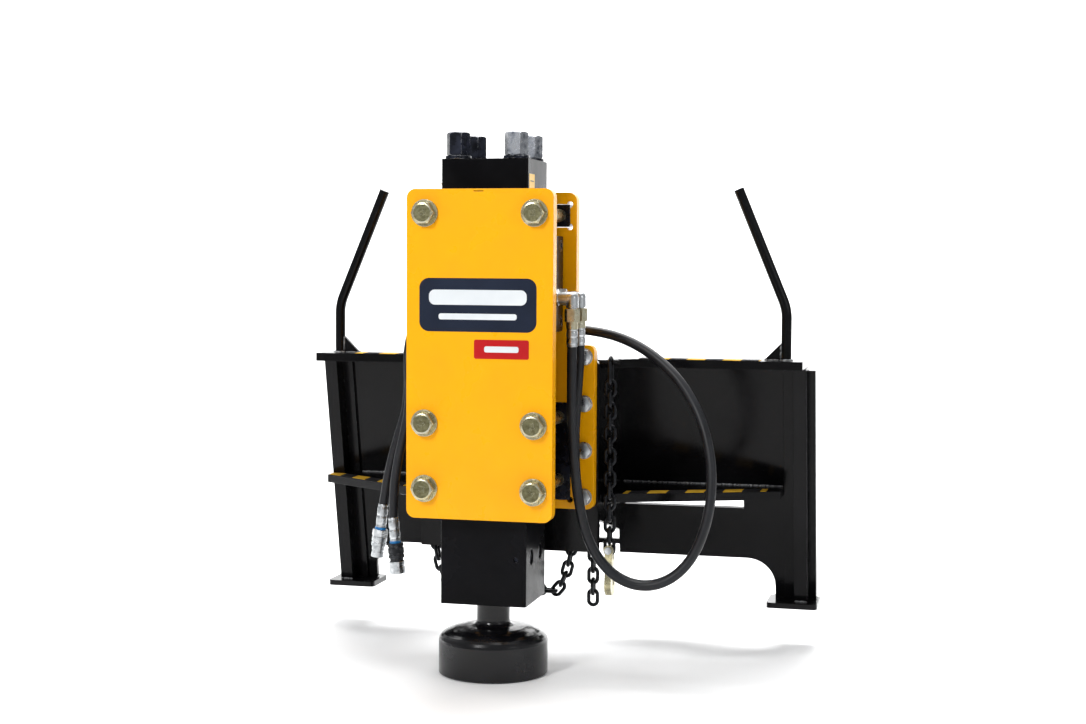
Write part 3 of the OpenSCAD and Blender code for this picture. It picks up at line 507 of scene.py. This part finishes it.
class Coat(Enum):
    """The finishes of this machine, each named for what it really is."""

    # Gloss powder coat over steel plate: deep black, thin crisp reflections, faint orange peel
    FRAME_BLACK = Finish(
        "powder_coat_black", "070708", "0D0D0F", (0.14, 0.24), grain_mm=7, grain_lift_mm=0.05,
        edge_mm=1.8, edge_wear_and_sheen="3A3A3D", wear_and_sheen_spread=0.2, specular=0.16,
    )
    # Gloss powder coat, warm yellow, very even, with dusty scuffs towards edges
    PLATE_YELLOW = Finish(
        "powder_coat_yellow", "FDB003", "F8A802", (0.24, 0.36), grain_mm=7, grain_lift_mm=0.05,
        edge_mm=1.8, edge_wear_and_sheen="C98A10", wear_and_sheen_spread=0.2, specular=0.25,
    )
    # Sprayed semi-gloss paint on cast blocks: deep black, edges rubbed to dull steel
    HAMMER_BLACK = Finish(
        "sprayed_paint_black", "09090B", "121215", (0.18, 0.36), grain_mm=4, grain_lift_mm=0.08,
        edge_mm=2.5, edge_wear_and_sheen="4A4A4C", wear_and_sheen_spread=0.3, specular=0.06,
    )
    # Forged and painted tool: thick gloss paint, lightly scraped by posts
    TOOL_BLACK = Finish(
        "gloss_paint_on_forging", "08080A", "141417", (0.14, 0.3), drift_mm=60, grain_mm=5,
        grain_lift_mm=0.12, edge_mm=2.0, edge_wear_and_sheen="5C5A56", wear_and_sheen_spread=0.3, specular=0.35,
    )
    # Bright zinc plate: cool silver, slightly clouded
    ZINC = Finish(
        "bright_zinc_plate", "D0D3D5", "A4A8AB", (0.24, 0.42), 1.0, drift_mm=14, grain_mm=0.8,
        grain_lift_mm=0.03, edge_mm=0.6,
    )
    # Yellow passivated zinc: straw to olive clouds, with bright edges that are partly rubbed plating and
    # partly painted highlights on the chamfers and rims
    YELLOW_ZINC = Finish(
        "yellow_passivated_zinc", "C6BD97", "93907A", (0.22, 0.42), 0.95, drift_mm=9, grain_mm=0.8,
        grain_lift_mm=0.04, edge_mm=1.4, edge_wear_and_sheen="EDECE4", wear_and_sheen_spread=1.0,
    )
    # The same plating on a forged bolt top: darker olive, rough, with raised plain marks
    OLIVE_FACE = Finish(
        "yellow_zinc_forged_face", "57543A", "7E7A5C", (0.4, 0.6), 0.75, drift_mm=5, grain_mm=1.2,
        grain_lift_mm=0.2, edge_mm=0.4, edge_wear_and_sheen="D8D5C0", wear_and_sheen_spread=1.0,
    )
    # Thin straw plating, almost silver
    STRAW_ZINC = Finish(
        "straw_zinc_plate", "CDCAB4", "B3A98A", (0.26, 0.45), 1.0, drift_mm=10, grain_mm=0.8,
        grain_lift_mm=0.03, edge_mm=0.8,
    )
    # Ground and hardened steel
    GROUND_STEEL = Finish(
        "ground_steel", "B9BBBE", "96989B", (0.18, 0.35), 1.0, drift_mm=25, grain_mm=0.5,
        grain_lift_mm=0.02, edge_mm=0.8,
    )
    # Studs with a rolled thread
    STUD = Threaded(
        "rolled_thread_steel", "3A3B3F", "26272A", (0.3, 0.45), 0.9, drift_mm=20, grain_lift_mm=0.9,
        edge_mm=0.5,
    )
    # Blackened nuts: navy-black skin with spanner scratches down to bright steel
    NUT_BLACK = Finish(
        "blackened_steel", "0A0D14", "1C2130", (0.2, 0.38), 0.5, drift_mm=22, grain_mm=1.5,
        grain_lift_mm=0.05, edge_mm=1.4, edge_wear_and_sheen="C4C6CA", wear_and_sheen_spread=1.0, specular=0.35,
    )
    # Right-hand blackened nuts coloured bright silver all over: a painted reflection of the light on their
    # faces, with still brighter edges
    NUT_PAINTED_REFLECTION = Finish(
        "blackened_steel_painted_reflection", "C3C6CB", "4A4E58", (0.2, 0.4), 0.9, drift_mm=13, grain_mm=1.0,
        grain_lift_mm=0.06, edge_mm=1.4, edge_wear_and_sheen="D8DADD", wear_and_sheen_spread=1.0,
    )
    # Dark knurled grip of the hose coupler
    GRIP_DARK = Finish(
        "phosphated_steel", "1C1D20", "34363A", (0.3, 0.45), 0.6, drift_mm=9, grain_mm=1.0,
        grain_lift_mm=0.05, edge_mm=0.4, edge_wear_and_sheen="8E9093", wear_and_sheen_spread=0.8,
    )
    # Bearing bronze
    BRONZE = Finish("bearing_bronze", "A87A3C", "8D652F", (0.3, 0.45), 1.0, drift_mm=20, edge_mm=0.5)
    # Synthetic rubber hose cover: dull blue-black with a low wrapped grain
    HOSE = Finish(
        "wrapped_rubber_hose", "121317", "1A1C21", (0.36, 0.5), drift_mm=60, grain_mm=1.6,
        grain_lift_mm=0.12, edge_mm=0.2, specular=0.35,
    )
    # Moulded polyamide ring
    RING_BLUE = Finish("moulded_blue_nylon", "1F7FC4", "1A6FB0", (0.3, 0.42), drift_mm=10, edge_mm=0.5)
    # Cast polyurethane
    SEAL_BLUE = Finish("cast_polyurethane_blue", "2F5D7C", "28506C", (0.4, 0.5), edge_mm=0.3)
    PAD = Finish(
        "cast_polyurethane_black", "101012", "18181A", (0.45, 0.6), grain_mm=1.5, edge_mm=0.8,
        specular=0.3,
    )
    # Grit tape
    GRIP = Banded(
        "grit_tape", "E0B030", "B88C22", (0.8, 0.95), drift_mm=30, grain_mm=1.6, grain_lift_mm=0.5,
        edge_mm=0.1, specular=0.2,
    )
    # Blackened alloy chain: satin
    CHAIN = Finish(
        "blackened_alloy_chain", "131417", "26282C", (0.24, 0.4), 0.6, drift_mm=12, grain_mm=1.2,
        grain_lift_mm=0.04, edge_mm=0.3, specular=0.4,
    )
    # Printed vinyl decals
    DECAL_NAVY = Finish(
        "printed_vinyl_navy", "131B2C", "172135", (0.3, 0.36), edge_mm=0.1, grain_lift_mm=0.01,
        specular=0.25,
    )
    DECAL_PALE = Finish(
        "printed_vinyl_pale", "E4E8EA", "D6DBDF", (0.3, 0.36), edge_mm=0.1, grain_lift_mm=0.01,
    )
    DECAL_RED = Finish(
        "printed_vinyl_red", "BE1118", "AE0F15", (0.3, 0.36), edge_mm=0.1, grain_lift_mm=0.01,
        specular=0.25,
    )
    LABEL_YELLOW = Finish(
        "printed_vinyl_yellow", "F0BE22", "E2B21E", (0.35, 0.45), edge_mm=0.1, grain_lift_mm=0.01,
    )
    LABEL_DARK = Finish(
        "printed_vinyl_black", "17171A", "222226", (0.35, 0.45), edge_mm=0.1, grain_lift_mm=0.01,
    )
    # Weld metal under thin paint: rippled, black with pale flecks, partly spatter and partly painted glints
    # on the ripples
    WELD = Finish(
        "weld_bead_under_paint", "131315", "A4A6A8", (0.22, 0.45), 0.3, drift_mm=4, grain_mm=1.2,
        grain_lift_mm=0.25, edge_mm=0.3, specular=0.4,
    )
    # Studio floor
    FLOOR = Finish(
        "matt_floor_paint", "F8F8F8", "F5F5F5", (0.6, 0.75), drift_mm=900, grain_mm=4,
        grain_lift_mm=0.02, edge_mm=0.1, specular=0.2,
    )

    def material(self) -> bpy.types.Material:
        """The finish's material.

        Returns:
            The material, made on first use.
        """
        return self.value.material()


NODE_COATS = {
    Coat.TOOL_BLACK: "driver_tool",
    Coat.HAMMER_BLACK: "front_head cylinder back_head valve_chest",
    Coat.BRONZE: "tool_bushes",
    Coat.GROUND_STEEL: "retaining_pins piston seal_carrier valve_spool",
    Coat.ZINC: "grease_nipple gas_valve valve_cap port_adaptors hose_elbows ferrules_a ferrules_b "
               "male_coupler coupler_sleeve flange_bolts flange_washers flange_nuts hook_pin",
    Coat.GRIP_DARK: "female_coupler",
    Coat.SEAL_BLUE: "piston_seals",
    Coat.STUD: "tie_rods",
    # The stop pins take this dark coat as painted shade, so that they darken their holes.
    Coat.NUT_BLACK: "tie_rod_nuts tie_rod_washers stop_pins valve_screws nut_blocks nut_bars",
    Coat.YELLOW_ZINC: "side_bolts side_bolt_washers grab_hook",
    Coat.STRAW_ZINC: "elbow_nuts",
    Coat.HOSE: "hose_a hose_b",
    Coat.RING_BLUE: "coupler_rings",
    Coat.PAD: "wear_pads",
    Coat.PLATE_YELLOW: "front_side_plate back_side_plate",
    Coat.FRAME_BLACK: "box_front_plate box_side_plates top_plate steps back_panel cross_bar legs side_bars "
                      "feet hook_rail lower_lips guide_rods rod_gussets chain_pegs",
    Coat.GRIP: "grip_tapes",
    Coat.CHAIN: "long_chain swag_chains tail_chain",
}


def seat(thing: bpy.types.Object, slot: str, node: str = "", body: str = "frame") -> None:
    """Fixes a new piece to a body and lets it stand for a node.

    Args:
        thing: The piece.
        slot: Its material slot; not used.
        node: The node that it stands for, or nothing.
        body: The body that it rides on.
    """
    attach(thing, body)
    if node:
        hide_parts(node)


def dress_nodes() -> None:
    """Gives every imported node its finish."""
    for coat, names in NODE_COATS.items():
        for name in names.split():
            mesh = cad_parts[name].data
            mesh.materials.clear()
            mesh.materials.append(coat.material())
    LOG.info("dressed %d nodes", len(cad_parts))


# ---- stage ----


@dataclass
class Studio:
    """Floor, soft lights and the camera."""

    eye: Vec = (0.9373, -3.4126, 0.8446)
    right: Vec = (0.9712, 0.2381, 0.0058)
    up: Vec = (-0.0195, 0.0553, 0.9983)
    back: Vec = (0.2374, -0.9697, 0.0583)
    lens_mm: float = 57.6
    half_width: float = 9.0

    def camera(self) -> None:
        """Makes the camera."""
        data = bpy.data.cameras.new("camera")
        data.lens, data.sensor_width = self.lens_mm, 36.0
        thing = bpy.data.objects.new("camera", data)
        turn = Matrix((self.right, self.up, self.back)).transposed()
        thing.matrix_world = Matrix.Translation(self.eye) @ turn.to_4x4()
        bpy.context.scene.collection.objects.link(thing)
        bpy.context.scene.camera = thing

    def floor(self) -> None:
        """Makes a floor that sweeps up behind: height grows as a quarter circle past the bend."""
        low = CAD_BOX[0][2] - 0.001
        bend, radius = 4.0, 2.5
        turn = np.linspace(0, math.pi / 2, 20)
        y = np.concatenate([[-self.half_width], bend + radius * np.sin(turn), [bend + radius]])
        z = np.concatenate([[0.0], radius * (1 - np.cos(turn)), [7.0]]) + low
        x = np.linspace(-self.half_width, self.half_width, 3)
        points = np.stack([x[None, :] + 0 * y[:, None], y[:, None] + 0 * x, z[:, None] + 0 * x], axis=-1)
        Surface().sheet(points).build("studio_floor", Coat.FLOOR)

    def light(self, name: str, spot: Vec, size: float, power: float, aim: Vec | None = None) -> None:
        """Makes one square soft light.

        Args:
            name: Name of the light.
            spot: Where it stands.
            size: Edge of its square.
            power: Watts.
            aim: What it points at, or None for the machine's middle.
        """
        data = bpy.data.lights.new(name, "AREA")
        data.size, data.energy = size, power
        thing = bpy.data.objects.new(name, data)
        target = Vector(aim) if aim else (CAD_BOX[0] + CAD_BOX[1]) / 2
        thing.location = spot
        thing.rotation_euler = (target - thing.location).to_track_quat("-Z", "Y").to_euler()
        bpy.context.scene.collection.objects.link(thing)

    def build(self) -> None:
        """Makes the whole stage."""
        self.camera()
        self.floor()
        self.light("key", (-1.2, -3.4, 2.7), 0.6, 84)
        self.light("fill", (3.6, -2.2, 1.8), 1.2, 16)
        self.light("top", (0.3, 0.6, 4.0), 2.5, 75)
        self.light("backdrop", (0.0, 2.6, 5.2), 3.5, 620, (-1.0, 6.3, 1.2))
        self.light("floor_wash", (-2.6, 2.2, 3.2), 2.0, 70, (-2.2, 2.4, 0.0))
        world = bpy.data.worlds.new("studio")
        bpy.context.scene.world = world
        world.use_nodes = True
        world.node_tree.nodes["Background"].inputs[0].default_value = linear("F4F6F8")
        world.node_tree.nodes["Background"].inputs[1].default_value = 0.42
        bpy.context.scene.view_settings.view_transform = "Standard"
        LOG.info("studio ready")


# ---- hoses ----


@dataclass
class HoseRun:
    """One hydraulic hose, from its ferrule under the elbow to the ferrule at its coupler."""

    name: str
    node: str
    length: float
    route: tuple[Vec, ...]
    pieces: tuple[str, ...]
    diameter: float = 0.020

    def build(self) -> None:
        points = np.array(self.route)
        path = smooth_path(points, 7)
        radius = np.full(len(path), self.diameter / 2)
        tube = along(path, radius, 20)
        thing = Surface().grid(tube).build(self.name, Coat.HOSE)
        seat(thing, "hose_rubber", self.node)
        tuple(self.route[0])
        list(self.pieces)
        LOG.info("%s: %.3f m", self.name, float(np.linalg.norm(np.diff(path, axis=0), axis=1).sum()))


HOSE_ROUTES = {
    "hose_a": (
        (0.167, -0.022, 0.672), (0.167, -0.022, 0.64), (0.167, -0.021, 0.54), (0.169, -0.018, 0.48),
        (0.173, -0.014, 0.42), (0.18, -0.009, 0.36), (0.193, -0.004, 0.3), (0.215, 0.001, 0.25),
        (0.247, 0.005, 0.213), (0.287, 0.008, 0.193), (0.33, 0.01, 0.192), (0.37, 0.014, 0.21),
        (0.402, 0.019, 0.243), (0.424, 0.025, 0.287), (0.438, 0.033, 0.34), (0.442, 0.042, 0.395),
        (0.437, 0.054, 0.45), (0.422, 0.068, 0.505), (0.398, 0.084, 0.555), (0.365, 0.1, 0.6),
        (0.323, 0.118, 0.638), (0.274, 0.136, 0.668), (0.22, 0.15, 0.688), (0.16, 0.16, 0.698),
        (0.095, 0.167, 0.701), (0.025, 0.171, 0.701), (-0.04, 0.171, 0.704), (-0.09, 0.163, 0.709),
        (-0.131, 0.148, 0.711), (-0.161, 0.126, 0.707), (-0.185, 0.101, 0.695), (-0.198, 0.08, 0.672),
        (-0.202, 0.066, 0.64), (-0.202, 0.058, 0.602), (-0.2, 0.056, 0.56), (-0.204, 0.056, 0.518),
        (-0.213, 0.057, 0.475), (-0.224, 0.059, 0.432), (-0.232, 0.06, 0.387), (-0.236, 0.06, 0.343),
        (-0.237, 0.06, 0.3),
    ),
    "hose_b": (
        (0.167, 0.048, 0.672), (0.167, 0.048, 0.64), (0.161, 0.046, 0.54), (0.16, 0.04, 0.48),
        (0.164, 0.031, 0.417), (0.173, 0.025, 0.357), (0.187, 0.023, 0.298), (0.21, 0.025, 0.248),
        (0.243, 0.028, 0.211), (0.283, 0.031, 0.191), (0.326, 0.033, 0.19), (0.366, 0.037, 0.207),
        (0.398, 0.042, 0.24), (0.42, 0.048, 0.284), (0.434, 0.056, 0.337), (0.438, 0.065, 0.392),
        (0.433, 0.077, 0.447), (0.418, 0.091, 0.502), (0.394, 0.107, 0.552), (0.361, 0.123, 0.597),
        (0.319, 0.141, 0.635), (0.27, 0.159, 0.665), (0.216, 0.173, 0.686), (0.156, 0.183, 0.697),
        (0.091, 0.189, 0.702), (0.021, 0.193, 0.706), (-0.045, 0.19, 0.713), (-0.098, 0.178, 0.723),
        (-0.14, 0.158, 0.732), (-0.172, 0.137, 0.732), (-0.195, 0.119, 0.718), (-0.209, 0.103, 0.692),
        (-0.214, 0.092, 0.657), (-0.213, 0.085, 0.62), (-0.211, 0.08, 0.578), (-0.215, 0.079, 0.53),
        (-0.229, 0.08, 0.482), (-0.243, 0.082, 0.438), (-0.257, 0.085, 0.384), (-0.268, 0.087, 0.324),
    ),
}


# ---- fasteners ----


@dataclass
class Fasteners:
    """Bolts and nuts with chamfered hexagons, in place of the plain ones."""

    side_flats: float = 0.04104
    side_head: float = 0.017
    side_shank: float = 0.0135
    side_heights: tuple[float, ...] = (0.060, 0.191, 0.608)
    flange_flats: float = 0.030
    flange_head: float = 0.0125
    flange_shank: float = 0.010
    flange_heights: tuple[float, ...] = (0.026, 0.123, 0.220, 0.317)
    nut_flats: float = 0.042
    nut_height: float = 0.047
    mark_step: float = 0.0045

    def bolt(self, surface: Surface, spot: Vec, flats: float, head: float, shank: float, end: float) -> None:
        """Adds a bolt that lies along Y with its head towards -Y.

        Args:
            surface: What it is added to.
            spot: Centre of the head's underside.
            flats: Width across the flats.
            head: Height of the head.
            shank: Radius of the shank.
            end: Place along Y where the shank ends.
        """
        reach = end - spot[1]
        rod = np.array([[shank, 0.0], [shank, reach - 0.002], [shank - 0.002, reach]])
        surface.grid(place(hexagonal(flats, head), spot, (0, -1, 0)))
        surface.grid(place(turned(rod, 32), spot, (0, 1, 0)))

    def stamped_face(self, faces: Surface, spot: Vec, turn: float) -> None:
        """Adds the low crown on a side bolt's head and three plain raised bars on it.

        Args:
            faces: What it is added to.
            spot: Centre of the head's top.
            turn: Angle of the bars, in radians.
        """
        crown = np.array([[0.40, 0.0], [0.425, 0.0001], [0.41, 0.0005], [0.30, 0.0003]])
        faces.grid(place(turned(crown * [self.side_flats, 1.0]), spot, (0, -1, 0)))
        ahead = (math.cos(turn), 0, math.sin(turn))
        bar = rounded(0.0115, 0.0026, 0.0006, 0.0009)
        for shift in (-self.mark_step, 0.0, self.mark_step):
            mark = (spot[0] - shift * ahead[2], spot[1], spot[2] + shift * ahead[0])
            faces.grid(place(bar, mark, (0, -1, 0), ahead))

    def side_bolts(self, plate_low: float) -> None:
        """Makes the six long bolts and their stamped faces.

        Args:
            plate_low: Height of the front plate's lower edge.
        """
        lo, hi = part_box("side_bolts")
        x = hi.x - self.side_flats / math.sqrt(3)
        under = lo.y + self.side_head
        surface, faces = Surface(), Surface()
        for z in self.side_heights:
            for side in (-1, 1):
                spot = (side * x, under, plate_low + z)
                self.bolt(surface, spot, self.side_flats, self.side_head, self.side_shank, hi.y)
                self.stamped_face(faces, (spot[0], under - self.side_head, spot[2]), 0.5 * side + 7 * z)
        seat(surface.build("side_bolt_set", Coat.YELLOW_ZINC), "yellow_zinc", "side_bolts")
        seat(faces.build("side_bolt_faces", Coat.OLIVE_FACE), "yellow_zinc", "side_bolts")

    def flange_bolts(self, plate_low: float) -> None:
        """Makes the eight bolts of the flange.

        Args:
            plate_low: Height of the front plate's lower edge.
        """
        lo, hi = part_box("flange_bolts")
        x = hi.x - self.flange_flats / math.sqrt(3)
        under = lo.y + self.flange_head
        surface = Surface()
        for z in self.flange_heights:
            for side in (-1, 1):
                spot = (side * x, under, plate_low + z)
                self.bolt(surface, spot, self.flange_flats, self.flange_head, self.flange_shank, hi.y)
        seat(surface.build("flange_bolt_set", Coat.ZINC), "zinc", "flange_bolts")

    def tie_rod_nuts(self) -> None:
        """Makes the four tall nuts: dark on the left, and on the right coloured bright silver as a painted
        reflection.
        """
        lo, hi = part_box("tie_rod_nuts")
        x = hi.x - self.nut_flats / math.sqrt(3)
        y = hi.y - self.nut_flats / 2
        rows = hexagonal(self.nut_flats, self.nut_height, both_ends=True)
        sides = ((-1, "tie_rod_nuts_left", Coat.NUT_BLACK), (1, "tie_rod_nuts_right", Coat.NUT_PAINTED_REFLECTION))
        for side, name, coat in sides:
            surface = Surface()
            for depth in (-1, 1):
                surface.grid(place(rows, (side * x, depth * y, lo.z)))
            seat(surface.build(name, coat), "nut_black", "tie_rod_nuts")

    def build(self) -> None:
        """Makes the side bolts, flange bolts and tie rod nuts."""
        plate_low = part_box("front_side_plate")[0].z
        self.side_bolts(plate_low)
        self.flange_bolts(plate_low)
        self.tie_rod_nuts()
        LOG.info("fasteners ready")


# ---- hose ends ----


@dataclass
class HoseEnds:
    """Crimped ferrules and the two couplers, turned and grooved.

    Coupler profiles are pairs of radius and height in millimetres. Height is counted from the hose's
    end, up along the hose, and a profile that starts inside follows the bore first.
    """

    end_a: Vec = (-0.237, 0.060, 0.300)
    axis_a: Vec = (-0.087156, 0.0, 0.996195)
    end_b: Vec = (-0.268, 0.087, 0.324)
    axis_b: Vec = (0.121869, 0.0, 0.992546)
    elbow_x: float = 0.167
    port_y: tuple[float, float] = (-0.022, 0.048)
    ferrule_low: float = 0.672
    ferrule_r: float = 0.0115
    hexagon_low: float = 0.071
    ring: tuple[tuple[float, float], ...] = ((11.2, -55), (12, -54.2), (12, -50.8), (11.2, -50))
    male: tuple[tuple[float, float], ...] = (
        (9, -107), (9, -115), (12.5, -115), (13.5, -114.2), (13.5, -104), (12.2, -103.5), (12.2, -100.5),
        (13.5, -100), (13.5, -92), (15.2, -91), (16, -90), (16, -84), (14.8, -83.2), (14.8, -80.8),
        (16, -80), (16, -71.5), (15.2, -71),
    )
    grip: tuple[tuple[float, float], ...] = (
        (10, -105), (10, -119), (13.2, -119), (14, -118.2), (14, -86.2), (16.2, -86), (17, -85.2),
        (17, -80), (15.5, -79.2), (15.5, -76.8), (17, -76), (17, -65), (15.5, -64.2), (15.5, -61.8),
        (17, -61), (17, -55.8), (16.2, -55),
    )
    sleeve: tuple[tuple[float, float], ...] = (
        (14.1, -93), (14.1, -119), (16.3, -119), (17, -118.2), (17, -105.5), (15.8, -105),
        (15.8, -101.2), (17, -100.5), (17, -93.8), (16.3, -93),
    )

    def ferrule(self, low: float, high: float) -> np.ndarray:
        """Rows of loops for a crimped ferrule: its radius dips a little at every crimp.

        Args:
            low: Height of the lower end.
            high: Height of the upper end.
        Returns:
            Array of rows, sides and coordinates.
        """
        z = np.linspace(low, high, 60)
        s = (z - low) / (high - low)
        dip = 0.0009 * np.clip(np.sin(s * math.pi * 5), 0, 1) ** 2
        ends = 0.0012 * (np.clip(1 - s / 0.04, 0, 1) + np.clip(1 - (1 - s) / 0.04, 0, 1))
        return turned(np.stack([self.ferrule_r - dip - ends, z], axis=-1))

    def ribbed(self, profile: np.ndarray, ribs: int, lift: float) -> np.ndarray:
        """A turned shape whose radius ripples round the axis, as knurling does.

        Args:
            profile: Array of radius and height.
            ribs: Ripples in one turn.
            lift: Depth of each ripple.
        Returns:
            Array of rows, sides and coordinates.
        """
        rows = turned(profile, ribs * 4)
        angle = np.arctan2(rows[..., 1], rows[..., 0])
        scale = 1 - lift * (0.5 - 0.5 * np.cos(ribs * angle)) / profile[:, 0][:, None]
        return rows * np.stack([scale, scale, np.ones_like(scale)], axis=-1)

    def crimps_and_rings(self) -> None:
        """Makes each hose's two ferrules and the blue ring at its coupler."""
        ends = (("a", self.end_a, self.axis_a), ("b", self.end_b, self.axis_b))
        ring = turned(np.array(self.ring) * MM)
        for (key, end, axis), y in zip(ends, self.port_y):
            surface = Surface().grid(place(self.ferrule(0.0, 0.036), (self.elbow_x, y, self.ferrule_low)))
            surface.grid(place(self.ferrule(-0.050, 0.0), end, axis))
            seat(surface.build(f"ferrule_pair_{key}", Coat.ZINC), "zinc", f"ferrules_{key}")
            blue = Surface().grid(place(ring, end, axis)).build(f"ring_{key}", Coat.RING_BLUE)
            seat(blue, "ring_blue", "coupler_rings")

    def couplers(self) -> None:
        """Makes the male coupler, and the female one with its sliding sleeve."""
        foot = tuple(np.array(self.end_b) - self.hexagon_low * np.array(self.axis_b))
        male = Surface().grid(place(hexagonal(0.030, 0.016, True), foot, self.axis_b))
        male.grid(place(turned(np.array(self.male) * MM), self.end_b, self.axis_b))
        seat(male.build("male_shell", Coat.ZINC), "zinc", "male_coupler")
        rows = self.ribbed(np.array(self.grip) * MM, 40, 0.0005)
        grip = Surface().grid(place(rows, self.end_a, self.axis_a)).build("female_grip", Coat.GRIP_DARK)
        seat(grip, "nut_black", "female_coupler")
        rows = turned(np.array(self.sleeve) * MM)
        sleeve = Surface().grid(place(rows, self.end_a, self.axis_a), ring=True)
        seat(sleeve.build("sleeve_shell", Coat.ZINC), "zinc", "coupler_sleeve", "sleeve")

    def build(self) -> None:
        """Makes ferrules, rings and couplers."""
        self.crimps_and_rings()
        self.couplers()
        LOG.info("hose ends ready")


# ---- decals and welds ----


@dataclass
class Sticker:
    """One printed sticker: a thin plate with round corners. None carries letters or a mark."""

    name: str
    coat: Coat
    height: float
    size: tuple[float, float, float]
    layer: int = 1


@dataclass
class Decals:
    """The stickers of one flat face, laid one on another."""

    slot: str
    face: float
    middle: float
    axis: Vec
    ahead: Vec
    stickers: tuple[Sticker, ...]
    thick: float = 0.0003
    lift: float = 0.00002

    def build(self) -> None:
        """Makes every sticker of the face."""
        across, out = np.array(self.ahead, float), np.array(self.axis, float)
        for one in self.stickers:
            depth = self.face * float(out.sum()) + (one.layer - 1) * self.thick + self.lift
            spot = tuple(self.middle * across + depth * out + np.array([0, 0, one.height]))
            rows = place(rounded(*one.size, self.thick), spot, self.axis, self.ahead)
            seat(Surface().grid(rows).build(one.name, one.coat, smooth=False), self.slot)
            LOG.info("sticker %s", one.name)


def badge() -> Decals:
    """The plain navy badge on the front side plate.

    Returns:
        The stickers, not built yet.
    """
    return Decals("plate_yellow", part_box("front_side_plate")[0].y, -0.003, (0, -1, 0), (1, 0, 0), (
        Sticker("badge_field", Coat.DECAL_NAVY, 0.756, (0.240, 0.106, 0.020)),
        Sticker("badge_stripe_0", Coat.DECAL_PALE, 0.771, (0.200, 0.030, 0.012), 2),
        Sticker("badge_stripe_1", Coat.DECAL_PALE, 0.733, (0.160, 0.012, 0.0048), 2),
    ))


def red_bar() -> Decals:
    """The plain red bar below the badge.

    Returns:
        The stickers, not built yet.
    """
    return Decals("plate_yellow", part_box("front_side_plate")[0].y, 0.046, (0, -1, 0), (1, 0, 0), (
        Sticker("plain_red_bar", Coat.DECAL_RED, 0.669, (0.112, 0.038, 0.004)),
        Sticker("red_bar_stripe", Coat.DECAL_PALE, 0.669, (0.070, 0.012, 0.004), 2),
    ))


def caution_label() -> Decals:
    """The yellow label on the back head's right side.

    Returns:
        The stickers, not built yet.
    """
    return Decals("hammer_black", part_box("back_head")[1].x, -0.050, (1, 0, 0), (0, 1, 0), (
        Sticker("caution_edge", Coat.LABEL_DARK, 0.986, (0.046, 0.062, 0.003)),
        Sticker("caution_field", Coat.LABEL_YELLOW, 0.986, (0.044, 0.060, 0.002), 2),
        Sticker("caution_stripe_0", Coat.LABEL_DARK, 0.970, (0.026, 0.002, 0.0008), 3),
        Sticker("caution_stripe_1", Coat.LABEL_DARK, 0.986, (0.026, 0.002, 0.0008), 3),
        Sticker("caution_stripe_2", Coat.LABEL_DARK, 1.002, (0.026, 0.002, 0.0008), 3),
    ))


def blank_label() -> Decals:
    """The pale label low on the cylinder's right side.

    Returns:
        The stickers, not built yet.
    """
    return Decals("hammer_black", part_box("back_head")[1].x, -0.060, (1, 0, 0), (0, 1, 0), (
        Sticker("plain_label", Coat.DECAL_PALE, 0.858, (0.030, 0.044, 0.002)),
    ))


@dataclass
class Welds:
    """Rippled beads where plates, rods and steps are joined."""

    rods: tuple[Vec, ...] = ((0.5655, 0.263, 0.637), (-0.4305, 0.263, 0.637))
    rod_r: float = 0.011
    gusset: float = 0.036
    gusset_half: float = 0.0055
    step_z: float = 0.355
    step_y: float = 0.3705
    step_x: tuple[tuple[float, float], ...] = ((0.196, 0.553), (-0.418, -0.196))
    foot_z: float = 0.102
    leg_y: float = 0.3776
    leg_x: tuple[tuple[float, float], ...] = ((0.5785, 0.6065), (-0.4715, -0.4435))

    def rod(self, surface: Surface, x: float, y: float, z: float) -> None:
        """Adds the bead round a rod's foot and those on both sides of its gusset.

        Args:
            surface: What they are added to.
            x: Place of the rod, left to right.
            y: Place of the rod, front to back.
            z: Height of the rod's foot.
        """
        surface.grid(bead_ring((x, y, z), self.rod_r + 0.001, 0.0028), ring=True)
        inward = -math.copysign(1.0, x)
        wall = x + inward * self.rod_r
        near, far = wall + inward * 0.003, wall + inward * self.gusset
        for side in (-self.gusset_half, self.gusset_half):
            surface.grid(bead((near, y + side, z), (far, y + side, z), 0.0022))
            surface.grid(bead((wall, y + side, z + 0.004), (wall, y + side, z + self.gusset - 0.001), 0.0018))

    def build(self) -> None:
        """Makes every bead as one set."""
        surface = Surface()
        for spot in self.rods:
            self.rod(surface, *spot)
        for x0, x1 in self.step_x:
            surface.grid(bead((x0, self.step_y, self.step_z), (x1, self.step_y, self.step_z), 0.0028))
        for x0, x1 in self.leg_x:
            surface.grid(bead((x0, self.leg_y, self.foot_z), (x1, self.leg_y, self.foot_z), 0.003))
        seat(surface.build("weld_beads", Coat.WELD), "frame_black")
        LOG.info("welds ready")


def main() -> None:
    """Builds the machine's looks in order."""
    logging.basicConfig(level=logging.INFO, format="%(message)s")
    Studio().build()
    HoseEnds().build()
    HoseRun("hose_left_in", "hose_a", 2.07, HOSE_ROUTES["hose_a"],
            ("ferrule_pair_a", "female_grip", "sleeve_shell", "ring_a")).build()
    HoseRun("hose_left_out", "hose_b", 2.08, HOSE_ROUTES["hose_b"],
            ("ferrule_pair_b", "male_shell", "ring_b")).build()
    dress_nodes()
    Fasteners().build()
    for face in (badge(), red_bar(), caution_label(), blank_label()):
        face.build()
    Welds().build()


if __name__ == "__main__":
    main()
